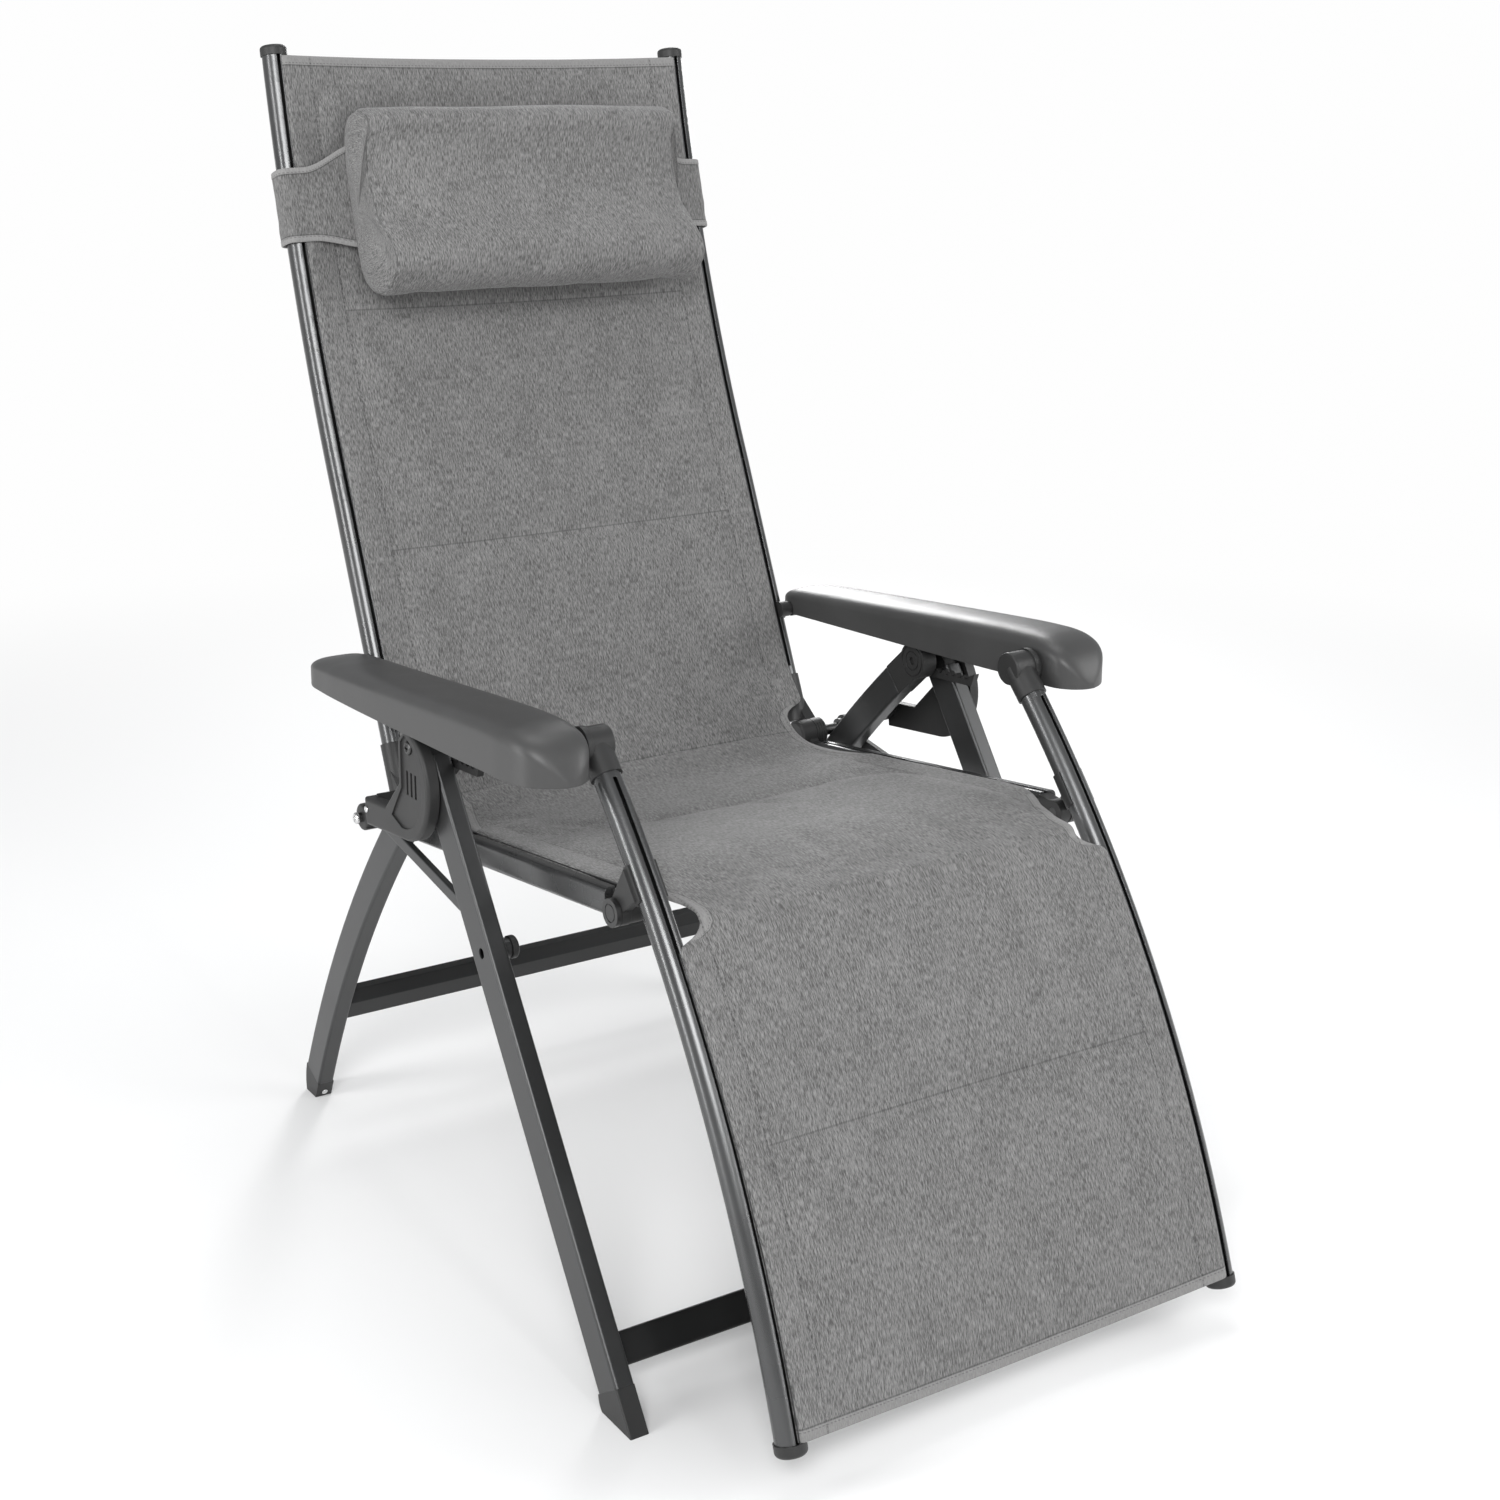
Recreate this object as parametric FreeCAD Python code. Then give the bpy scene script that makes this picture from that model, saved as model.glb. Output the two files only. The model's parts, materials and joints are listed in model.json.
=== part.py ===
import FreeCAD, Part
import math
import os

# Folding relax chair with a padded sling, armrests, legrest and head pillow.
# Millimetres. X runs across the chair, +Y points to the rear, +Z points up.
# The origin is on the floor, under the middle of the chair.
# Side-view points are written (y, z). "left" is the side at -X.

# ---- pivots in side view ----
REAR_AXLE = (187.0, 405.0)       # back, seat and links meet here
KNEE = (-242.0, 434.0)           # seat and legrest meet here
ARM_REAR = (253.0, 538.0)        # armrest on the back tube
ARM_FRONT = (-176.0, 567.0)      # armrest on the legrest tube
HINGE = (27.0, 524.0)            # front and rear legs meet, inside the armrest
LINK_LOW = (-92.0, 355.0)        # link on the front leg

# ---- layers across the chair, measured from the middle ----
TUBE_X = 250.0                   # back tubes and seat rails
LEGREST_X = 245.0
REAR_LEG_IN, REAR_LEG_OUT = 270.0, 289.0
LINK_IN, LINK_OUT = 290.5, 297.5
FRONT_LEG_IN, FRONT_LEG_OUT = 299.0, 318.0
GUARD_IN, GUARD_OUT = 319.3, 332.5
ARM_IN, ARM_OUT = 265.0, 338.5

# ---- sections ----
TUBE_R = 13.0
TUBE_WALL = 1.6
FRONT_LEG_DEPTH = 38.0
REAR_LEG_DEPTH = 35.0
LEG_WALL = 1.8
LEG_EDGE_R = 3.0
RAIL_WIDE, RAIL_HIGH = 22.0, 26.0
LINK_HIGH = 13.0
ARM_WALL = 3.4
GROOVE_WIDE, GROOVE_DEEP = 4.0, 5.0
SLING_THICK = 8.0
SLING_HALF = 236.0
PIN_R = 5.0
GAP = 0.3                        # between curved faces of different bodies
FRONT_FOOT_MID = (-334.0, 0.0)   # where the front leg's axis meets the floor

# ---- arcs through three side-view points ----
BACK_LOW = (221.0, 425.0)
BACK_KNEE = (341.0, 700.0)
BACK_BEND = (437.0, 949.0)
BACK_TOP = (493.0, 1170.0)
LEGREST_MID = (-374.0, 307.0)
LEGREST_LOW = (-492.0, 44.0)
REAR_LEG_LOW = (419.0, -4.0)
REAR_LEG_MID = (260.0, 272.5)
RAIL_REAR = (196.0, 384.0)
RAIL_FRONT = (-222.0, 436.0)

SIDES = {"left": -1, "right": 1}


# ------------------------------------------------------------------ helpers
def vec(x, point):
    return FreeCAD.Vector(x, point[0], point[1])


def add(point, *terms):
    """A side-view point moved by (direction, distance) pairs."""
    y, z = point
    for direction, distance in terms:
        y += direction[0] * distance
        z += direction[1] * distance
    return (y, z)


def unit(a, b):
    length = math.hypot(b[0] - a[0], b[1] - a[1])
    return ((b[0] - a[0]) / length, (b[1] - a[1]) / length)


def left_of(direction):
    return (-direction[1], direction[0])


def arc_centre(p, q, r):
    """Centre and radius of the circle through three side-view points."""
    d = 2 * (p[0] * (q[1] - r[1]) + q[0] * (r[1] - p[1]) + r[0] * (p[1] - q[1]))
    pp, qq, rr = (a[0] ** 2 + a[1] ** 2 for a in (p, q, r))
    y = (pp * (q[1] - r[1]) + qq * (r[1] - p[1]) + rr * (p[1] - q[1])) / d
    z = (pp * (r[0] - q[0]) + qq * (p[0] - r[0]) + rr * (q[0] - p[0])) / d
    return (y, z), math.hypot(p[0] - y, p[1] - z)


def shifted(point, centre, by):
    """The point moved away from an arc's centre."""
    return add(point, (unit(centre, point), by))


def outline(x, steps):
    """Closed wire in the side view at x. A step is a point, or a pair
    (point on the arc, end point)."""
    edges = []
    start = steps[0]
    here = start
    for step in list(steps[1:]) + [start]:
        if isinstance(step[0], tuple):
            middle, end = step
            edges.append(Part.Arc(vec(x, here), vec(x, middle), vec(x, end)).toShape())
        else:
            end = step
            if math.dist(here, end) > 1e-6:
                edges.append(Part.makeLine(vec(x, here), vec(x, end)))
        here = end
    return Part.Wire(edges)


def plate(x0, x1, steps):
    """A side-view outline, given thickness from x0 to x1."""
    face = Part.Face(outline(x0, steps))
    return face.extrude(FreeCAD.Vector(x1 - x0, 0, 0))


def disc(centre, radius, x0, x1):
    return Part.makeCylinder(radius, x1 - x0, vec(x0, centre), FreeCAD.Vector(1, 0, 0))


def cone(centre, r0, r1, x0, x1):
    return Part.makeCone(r0, r1, x1 - x0, vec(x0, centre), FreeCAD.Vector(1, 0, 0))


def rod(x, start, end, radius):
    """A round bar in the side-view plane at x."""
    axis = vec(0, end) - vec(0, start)
    return Part.makeCylinder(radius, axis.Length, vec(x, start), axis)


def band(points, half):
    """Outline of a strip of constant width along an arc of three points."""
    centre, _ = arc_centre(*points)
    outer = [shifted(p, centre, half) for p in points]
    inner = [shifted(p, centre, -half) for p in points]
    return [outer[0], (outer[1], outer[2]), inner[2], (inner[1], inner[0])]


def arc_bar(x0, x1, points, depth, edge_r):
    """A rectangular bar bent along an arc, with rounded long edges."""
    bar = plate(x0, x1, band(points, depth / 2))
    long_edges = []
    for edge in bar.Edges:
        curved = isinstance(edge.Curve, Part.Circle)
        if curved and edge.Length > depth:
            long_edges.append(edge)
    return bar.makeFillet(edge_r, long_edges)


def bent_solid(x, path, radius):
    """A round bar along a side-view path of points and (mid, end) arcs."""
    edges = []
    here = path[0]
    for step in path[1:]:
        if isinstance(step[0], tuple):
            middle, end = step
            edges.append(Part.Arc(vec(x, here), vec(x, middle), vec(x, end)).toShape())
        else:
            end = step
            edges.append(Part.makeLine(vec(x, here), vec(x, end)))
        here = end
    tangent = edges[0].tangentAt(edges[0].FirstParameter)
    ring = Part.Wire(Part.makeCircle(radius, vec(x, path[0]), tangent))
    return Part.Wire(edges).makePipeShell([ring], True, False)


def bent_tube(x, path, radius, wall):
    return bent_solid(x, path, radius).cut(bent_solid(x, path, radius - wall))


def mirrored(shape, side):
    """Shapes are drawn at +X; the left side is their mirror image."""
    if side > 0:
        return shape
    return shape.mirror(FreeCAD.Vector(0, 0, 0), FreeCAD.Vector(1, 0, 0))


def above_floor(shape):
    """The shape without anything below the floor."""
    below = Part.makeBox(2000, 2000, 100, FreeCAD.Vector(-1000, -1000, -100))
    return shape.cut(below)


def save(node, shape):
    shape.exportStep("parts/%s.step" % node)


def save_sides(name, shape):
    for side_name, side in SIDES.items():
        save("%s_%s" % (name, side_name), mirrored(shape, side))


def save_pair(name, shape):
    """Two identical small pieces, one on each side, in one node."""
    solids = []
    for side in SIDES.values():
        solids.extend(mirrored(shape, side).Solids)
    save(name, Part.makeCompound(solids))


def fuse(first, *others):
    shape = first
    for other in others:
        shape = shape.fuse(other)
    return shape.removeSplitter()


def pan_screw(centre, radius, x0, x1):
    """A screw head with a cross recess, facing +X."""
    head = disc(centre, radius, x0, x1)
    rim = [e for e in head.Edges if e.BoundBox.XMin > x1 - 0.01]
    head = head.makeFillet(min(radius, x1 - x0) * 0.6, rim)
    slot_wide = radius * 0.35
    depth = (x1 - x0) * 0.45
    for wide, high in ((slot_wide, radius * 1.1), (radius * 1.1, slot_wide)):
        corner = vec(x1 - depth, (centre[0] - wide / 2, centre[1] - high / 2))
        head = head.cut(Part.makeBox(depth + 1, wide, high, corner))
    return head


# ------------------------------------------------------------------ front legs
FRONT_DOWN = unit(HINGE, FRONT_FOOT_MID)
FRONT_BACKWARD = left_of(FRONT_DOWN)     # square to the leg, towards the rear
FRONT_LEG_LONG = math.dist(HINGE, FRONT_FOOT_MID)
FRONT_LEG_X = (FRONT_LEG_IN + FRONT_LEG_OUT) / 2
FOOT_HIGH = 30.0
LEG_TOP_AT = 16.0                        # the leg starts this far below the hinge


def on_front_leg(along, across):
    return add(HINGE, (FRONT_DOWN, along), (FRONT_BACKWARD, across))


def front_leg():
    half = FRONT_LEG_DEPTH / 2
    end = FRONT_LEG_LONG - FOOT_HIGH
    corners = [(LEG_TOP_AT, -half), (LEG_TOP_AT, half), (end, half), (end, -half)]
    leg = plate(FRONT_LEG_IN, FRONT_LEG_OUT, [on_front_leg(*c) for c in corners])
    leg = leg.makeFillet(LEG_EDGE_R, [e for e in leg.Edges if e.Length > end / 2])
    half -= LEG_WALL
    corners = [(LEG_TOP_AT, -half), (LEG_TOP_AT, half), (end, half), (end, -half)]
    hollow = plate(FRONT_LEG_IN + LEG_WALL, FRONT_LEG_OUT - LEG_WALL, [on_front_leg(*c) for c in corners])
    leg = leg.cut(hollow)
    return leg.cut(disc(LINK_LOW, PIN_R + 0.1, LINK_IN, FRONT_LEG_OUT + 1))


def front_foot():
    """A cap with a pointed toe and a round heel, flat on the floor."""
    half = FRONT_LEG_DEPTH / 2
    joint = FRONT_LEG_LONG - FOOT_HIGH
    front_top = on_front_leg(joint, -half)
    rear_top = on_front_leg(joint, half)
    to_floor = front_top[1] / -FRONT_DOWN[1]
    toe = add(front_top, (FRONT_DOWN, to_floor))
    heel = (toe[0] + FRONT_LEG_DEPTH * 0.62, 0.0)
    heel_arc = (rear_top[0] - 2.5, rear_top[1] * 0.36)
    steps = [front_top, toe, heel, (heel_arc, rear_top)]
    foot = plate(FRONT_LEG_IN, FRONT_LEG_OUT, steps)
    edges = [e for e in foot.Edges if abs(e.Length - math.dist(front_top, toe)) < 0.01]
    return above_floor(foot.makeFillet(1.2, edges))


def front_top_cap():
    """Rounded plastic end of the front leg, round the hinge bolt."""
    half = FRONT_LEG_DEPTH / 2 - 3
    low = [on_front_leg(LEG_TOP_AT, -half), on_front_leg(LEG_TOP_AT, half)]
    high = [on_front_leg(0, -half), on_front_leg(0, half)]
    steps = [low[0], low[1], high[1], (on_front_leg(-half, 0), high[0])]
    cap = plate(FRONT_LEG_IN + 0.5, FRONT_LEG_OUT - 0.5, steps)
    return cap.cut(disc(HINGE, 4.1, FRONT_LEG_IN, FRONT_LEG_OUT))


def front_crossbar():
    """Flat box bar on the rear of the front legs, near the floor."""
    along = FRONT_LEG_LONG - 60
    inner, outer = FRONT_LEG_DEPTH / 2 - 8, FRONT_LEG_DEPTH / 2 + 4
    corners = [(along - 15, inner), (along - 15, outer), (along + 15, outer), (along + 15, inner)]
    half = FRONT_LEG_IN
    bar = plate(-half, half, [on_front_leg(*c) for c in corners])
    bar = bar.makeFillet(2.0, [e for e in bar.Edges if e.Length > half])
    corners = [(along - 13.4, inner + 1.6), (along - 13.4, outer - 1.6),
               (along + 13.4, outer - 1.6), (along + 13.4, inner + 1.6)]
    return bar.cut(plate(-half, half, [on_front_leg(*c) for c in corners]))


BOLT_HEAD_R = 6.5
ROLLER_R = 7.0


def hinge_bolt():
    """Bolt through both legs and the guard, with a domed chrome head."""
    shank = disc(HINGE, 4.0, REAR_LEG_IN + 2.5, GUARD_OUT - 3)
    return fuse(shank, pan_screw(HINGE, BOLT_HEAD_R, GUARD_OUT - 3, GUARD_OUT + 0.6))


def latch_roller():
    """Roller between the legs that the armrest's rack rests on."""
    return disc(HINGE, ROLLER_R, LINK_IN, LINK_OUT).cut(disc(HINGE, 4.3, LINK_IN, LINK_OUT))


def link_pivot():
    """Knob and pin on the inside of the front leg."""
    knob = disc(LINK_LOW, 11.0, LINK_IN - 7.5, LINK_IN - 0.6)
    knob = knob.makeFillet(2.5, [e for e in knob.Edges if e.BoundBox.XMax < LINK_IN - 7.4])
    return fuse(knob, disc(LINK_LOW, PIN_R, LINK_IN - 0.6, FRONT_LEG_OUT - 4))


# ------------------------------------------------------------------ rear legs
REAR_ARC = (REAR_LEG_LOW, REAR_LEG_MID, HINGE)
REAR_CENTRE, REAR_RADIUS = arc_centre(*REAR_ARC)
REAR_HALF = REAR_LEG_DEPTH / 2


def on_rear_leg(along, across=0.0):
    """A point along the rear leg's arc from the hinge; across is to the rear."""
    start = math.atan2(HINGE[1] - REAR_CENTRE[1], HINGE[0] - REAR_CENTRE[0])
    angle = start - along / REAR_RADIUS
    r = REAR_RADIUS + across
    return (REAR_CENTRE[0] + r * math.cos(angle), REAR_CENTRE[1] + r * math.sin(angle))


REAR_LEG_LONG = REAR_RADIUS * 2 * math.asin(math.dist(HINGE, REAR_LEG_LOW) / 2 / REAR_RADIUS)
REAR_TOP_AT = 44.0
REAR_FOOT_AT = REAR_LEG_LONG - 34.0


def rear_leg():
    path = [on_rear_leg(s) for s in (REAR_TOP_AT, (REAR_TOP_AT + REAR_FOOT_AT) / 2, REAR_FOOT_AT)]
    leg = arc_bar(REAR_LEG_IN, REAR_LEG_OUT, path, REAR_LEG_DEPTH, LEG_EDGE_R)
    hollow = plate(REAR_LEG_IN + LEG_WALL, REAR_LEG_OUT - LEG_WALL, band(path, REAR_HALF - LEG_WALL))
    return leg.cut(hollow)


def rear_foot():
    """Foot cap with a rounded heel, flat on the floor."""
    heel_top = on_rear_leg(REAR_FOOT_AT, REAR_HALF)
    toe_top = on_rear_leg(REAR_FOOT_AT, -REAR_HALF)
    down = unit(on_rear_leg(REAR_FOOT_AT - 20), on_rear_leg(REAR_FOOT_AT))
    toe = add(toe_top, (down, toe_top[1] / -down[1]))
    heel = (toe[0] + 26.0, 0.0)
    bulge = (heel_top[0] + 4.5, heel_top[1] * 0.30)
    steps = [toe_top, toe, heel, (bulge, heel_top)]
    foot = plate(REAR_LEG_IN, REAR_LEG_OUT, steps)
    return above_floor(foot).cut(rear_foot_screw())


def rear_foot_screw():
    """Small screw in the front face of the rear foot."""
    middle = (REAR_LEG_IN + REAR_LEG_OUT) / 2
    toe_top = on_rear_leg(REAR_FOOT_AT, -REAR_HALF)
    inward = unit(on_rear_leg(REAR_FOOT_AT, -REAR_HALF), on_rear_leg(REAR_FOOT_AT))
    down = unit(on_rear_leg(REAR_FOOT_AT - 20), on_rear_leg(REAR_FOOT_AT))
    spot = add(toe_top, (down, 14.0), (inward, -1.5))
    axis = vec(0, inward)
    screw = Part.makeCylinder(3.4, 1.5, vec(middle, spot), axis)
    return screw.fuse(Part.makeCylinder(1.8, 6, vec(middle, spot), axis)).removeSplitter()


def rear_crossbar():
    """Box bar with a sloping upper face, between the rear legs."""
    spot = on_rear_leg(506.0, -4.0)
    down = unit(on_rear_leg(496.0, -4.0), on_rear_leg(516.0, -4.0))
    front = (down[1], -down[0])
    if front[0] > 0:
        front = (-front[0], -front[1])

    def corner(along, across):
        return add(spot, (down, along), (front, across))

    steps = [corner(-19, 1), corner(-7, 10), corner(19, 10), corner(19, -8), corner(-19, -8)]
    bar = plate(-REAR_LEG_IN, REAR_LEG_IN, steps)
    bar = bar.makeFillet(1.5, [e for e in bar.Edges if e.Length > REAR_LEG_IN])
    hollow = [corner(-17, 1), corner(-6, 8.2), corner(17, 8.2), corner(17, -6.2), corner(-17, -6.2)]
    return bar.cut(plate(-REAR_LEG_IN, REAR_LEG_IN, hollow))


def rear_leg_fitting():
    """Plastic end of the rear leg: a round hub with ringed inner face."""
    hub_r = 20.0
    x0, x1 = REAR_LEG_IN + 0.6, REAR_LEG_OUT - 0.4
    top = on_rear_leg(REAR_TOP_AT, REAR_HALF)
    low = on_rear_leg(REAR_TOP_AT, -REAR_HALF)
    arm = plate(x0, x1, [top, low, on_rear_leg(0, -REAR_HALF), on_rear_leg(0, REAR_HALF)])
    body = fuse(arm, disc(HINGE, hub_r, x0, x1))
    for outer, inner in ((17.5, 16.0), (11.0, 9.6)):
        body = body.cut(disc(HINGE, outer, x0, x0 + 1.0).cut(disc(HINGE, inner, x0, x0 + 1.0)))
    tongue = [on_rear_leg(REAR_TOP_AT, 13), on_rear_leg(REAR_TOP_AT, -13),
              on_rear_leg(REAR_TOP_AT + 28, -13), on_rear_leg(REAR_TOP_AT + 28, 13)]
    body = fuse(body, plate(REAR_LEG_IN + LEG_WALL + 0.2, REAR_LEG_OUT - LEG_WALL - 0.2, tongue))
    return body.cut(disc(HINGE, 4.3, x0, x1))


GUARD_SUNK = 2.0
GUARD_SLOTS = 3


def hinge_guard():
    """Finger guard: a rounded crescent outside the hinge, on the rear leg."""
    steps = [(30.0, 543.0), ((-14.0, 497.0), (38.0, 428.0)), (128.0, 418.0), (132.0, 446.0),
             (82.0, 451.0), (49.0, 484.0), (49.0, 528.0)]
    guard = plate(GUARD_IN, GUARD_OUT, steps)
    rim = [e for e in guard.Edges if e.BoundBox.XMin > GUARD_OUT - 0.01]
    guard = guard.makeFillet(4.0, rim)
    # the flat inside the rim is sunk, and has three slots
    sunk = [(33.0, 535.0), ((-3.0, 497.0), (44.0, 440.0)), (66.0, 447.0), (42.0, 481.0), (42.0, 527.0)]
    guard = guard.cut(plate(GUARD_OUT - GUARD_SUNK, GUARD_OUT + 1, sunk))
    for i in range(GUARD_SLOTS):
        y0, y1 = 12.0 + 9 * i, 16.0 + 9 * i
        slot = plate(GUARD_OUT - 5.5, GUARD_OUT, [(y0, 476.0), (y1, 476.0), (y1, 500.0), (y0, 500.0)])
        guard = guard.cut(slot)
    # a block bridges to the rear leg, behind the front leg
    block = [on_rear_leg(122, 12), on_rear_leg(122, -2), on_rear_leg(143, -2), on_rear_leg(143, 12)]
    guard = guard.fuse(plate(REAR_LEG_OUT, GUARD_IN + 2, block))
    guard = guard.cut(disc(HINGE, BOLT_HEAD_R + 0.6, GUARD_OUT - 3.1, GUARD_OUT + 1))
    return guard.cut(disc(HINGE, 4.3, GUARD_IN - 1, GUARD_OUT + 1)).removeSplitter()


def guard_screw():
    """Screw that holds the guard's block to the rear leg."""
    return pan_screw(on_rear_leg(132, 2), 3.4, GUARD_OUT, GUARD_OUT + 1.8)


# ------------------------------------------------------------------ links and rear axles
def link():
    """Bar with an eye at each end, from the rear axle to the front leg."""
    along = unit(REAR_AXLE, LINK_LOW)
    side = left_of(along)
    half = LINK_HIGH / 2
    steps = [add(REAR_AXLE, (side, half)), add(REAR_AXLE, (side, -half)),
             add(LINK_LOW, (side, -half)), add(LINK_LOW, (side, half))]
    bar = plate(LINK_IN, LINK_OUT, steps)
    bar = bar.makeFillet(1.5, [e for e in bar.Edges if e.Length > 100])
    eyes = [disc(REAR_AXLE, 10.5, LINK_IN, LINK_OUT), disc(LINK_LOW, 9.5, LINK_IN, LINK_OUT)]
    bar = fuse(bar, *eyes)
    bar = bar.cut(disc(REAR_AXLE, PIN_R, LINK_IN, LINK_OUT))
    return bar.cut(disc(LINK_LOW, PIN_R + 0.05, LINK_IN, LINK_OUT))


def axle():
    """Stub axle with a sleeve, slimmer where the folding rear leg passes it."""
    pin = disc(REAR_AXLE, PIN_R, TUBE_X - 16, 316.0)
    sleeve = disc(REAR_AXLE, 8.0, 264.5, 269.4)
    return fuse(pin, sleeve, disc(REAR_AXLE, 6.3, 269.4, LINK_IN))


def axle_hub():
    """Outer hub with a ribbed rim."""
    hub = disc(REAR_AXLE, 14.0, LINK_OUT, 312.0)
    hub = hub.makeFillet(3.0, [e for e in hub.Edges if e.BoundBox.XMin > 311.9])
    ribs = 10
    for i in range(ribs):
        angle = 2 * math.pi * i / ribs
        spot = add(REAR_AXLE, ((math.cos(angle), math.sin(angle)), 14.6))
        hub = hub.cut(disc(spot, 1.8, LINK_OUT + 5.5, 313.0))
    return hub.cut(disc(REAR_AXLE, PIN_R, LINK_OUT, 313.0))


def axle_screw():
    return pan_screw(REAR_AXLE, 6.0, 316.0, 319.5)


# ------------------------------------------------------------------ seat
RAIL_ALONG = unit(RAIL_REAR, RAIL_FRONT)
RAIL_DOWN = left_of(RAIL_ALONG)
RAIL_IN, RAIL_OUT = TUBE_X - RAIL_WIDE / 2, TUBE_X + RAIL_WIDE / 2
RAIL_START = add(RAIL_REAR, (RAIL_ALONG, 31.0))


def rail_profile(start, end, half_high, x0, x1):
    steps = [add(start, (RAIL_DOWN, -half_high)), add(end, (RAIL_DOWN, -half_high)),
             add(end, (RAIL_DOWN, half_high)), add(start, (RAIL_DOWN, half_high))]
    return plate(x0, x1, steps)


def seat_rail():
    """Hollow rail with rounded edges and a groove for the sling on top."""
    half = RAIL_HIGH / 2
    rail = rail_profile(RAIL_START, RAIL_FRONT, half, RAIL_IN, RAIL_OUT)
    rail = rail.makeFillet(5.5, [e for e in rail.Edges if e.Length > 100])
    rail = rail.cut(rail_profile(RAIL_START, RAIL_FRONT, half - 6.5, RAIL_IN + 1.8, RAIL_OUT - 1.8))
    top = [add(p, (RAIL_DOWN, -half)) for p in (RAIL_START, RAIL_FRONT)]
    groove = rail_profile(top[0], top[1], GROOVE_DEEP / 2 + 1, TUBE_X - 4, TUBE_X - 4 + GROOVE_WIDE)
    return rail.cut(groove)


def seat_rear_fitting():
    """Plug in the rail's rear end, with an eye on the rear axle."""
    x0, x1 = TUBE_X - 18, TUBE_X - 0.4
    dome = cone(REAR_AXLE, 13.5, 16.5, x0 - 2, x0)
    eye = disc(REAR_AXLE, 16.5, x0, x1)
    neck = plate(RAIL_IN + 1, x1, [add(REAR_AXLE, (RAIL_DOWN, 15)), add(RAIL_START, (RAIL_DOWN, 12)),
                                   add(RAIL_START, (RAIL_DOWN, -12)), add(REAR_AXLE, (RAIL_DOWN, -15))])
    plug_end = add(RAIL_START, (RAIL_ALONG, 24))
    plug = rail_profile(RAIL_START, plug_end, RAIL_HIGH / 2 - 6.7, RAIL_IN + 2, RAIL_OUT - 2)
    body = fuse(eye, dome, neck, plug)
    return body.cut(disc(REAR_AXLE, PIN_R + 0.08, x0 + 2, x1 + 1))


def seat_front_fitting():
    """Plug in the rail's front end, with an eye on the knee pivot."""
    x0, x1 = TUBE_X - 11, TUBE_X + 2.6
    eye = disc(KNEE, 12.5, x0, x1)
    neck = rail_profile(RAIL_FRONT, KNEE, 11.0, x0, x1)
    plug_end = add(RAIL_FRONT, (RAIL_ALONG, -24))
    plug = rail_profile(plug_end, RAIL_FRONT, RAIL_HIGH / 2 - 6.7, RAIL_IN + 2, RAIL_OUT - 2)
    body = fuse(eye, neck, plug)
    return body.cut(disc(KNEE, PIN_R + 0.08, x0 - 1, x1 + 1))


SEAT_TOP = RAIL_HIGH / 2 + 1.0


def seat_sling():
    """Padded seat panel between the rails."""
    start = add(RAIL_REAR, (RAIL_ALONG, 34), (RAIL_DOWN, -SEAT_TOP))
    end = add(RAIL_FRONT, (RAIL_ALONG, -4), (RAIL_DOWN, -SEAT_TOP))
    steps = [start, end, add(end, (RAIL_DOWN, SLING_THICK)), add(start, (RAIL_DOWN, SLING_THICK))]
    return plate(-SLING_HALF, SLING_HALF, steps)


# ------------------------------------------------------------------ back
BACK_DIR_LOW = unit(BACK_LOW, BACK_KNEE)
# the arc's centre lies in front of the back, so forward is towards it
BACK_ARC = (BACK_KNEE, BACK_BEND, BACK_TOP)
BACK_PATH = [BACK_LOW, BACK_KNEE, (BACK_BEND, BACK_TOP)]


def groove_strip(x, arc, forward, wide):
    """A slot cut along the front of a tube, following its arc."""
    centre, _ = arc_centre(*arc)
    near = [shifted(p, centre, forward * (TUBE_R + 2)) for p in arc]
    far = [shifted(p, centre, forward * (TUBE_R - GROOVE_DEEP)) for p in arc]
    steps = [near[0], (near[1], near[2]), far[2], (far[1], far[0])]
    return plate(x - wide / 2, x + wide / 2, steps)


def front_slot(x, start, end):
    """A straight slot along the front of a tube."""
    along = unit(start, end)
    side = left_of(along)
    steps = [add(start, (side, TUBE_R + 2)), add(end, (side, TUBE_R + 2)),
             add(end, (side, TUBE_R - GROOVE_DEEP)), add(start, (side, TUBE_R - GROOVE_DEEP))]
    return plate(x - GROOVE_WIDE / 2, x + GROOVE_WIDE / 2, steps)


def back_tube():
    """Tube that bends gently upright towards its top."""
    tube = bent_tube(TUBE_X, BACK_PATH, TUBE_R, TUBE_WALL)
    low = add(BACK_LOW, (BACK_DIR_LOW, 50.0))
    tube = tube.cut(front_slot(TUBE_X, low, BACK_KNEE))
    return tube.cut(groove_strip(TUBE_X, BACK_ARC, -1, GROOVE_WIDE))


BUSH_R = 12.0                    # bearing bush in the eye of the back


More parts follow.
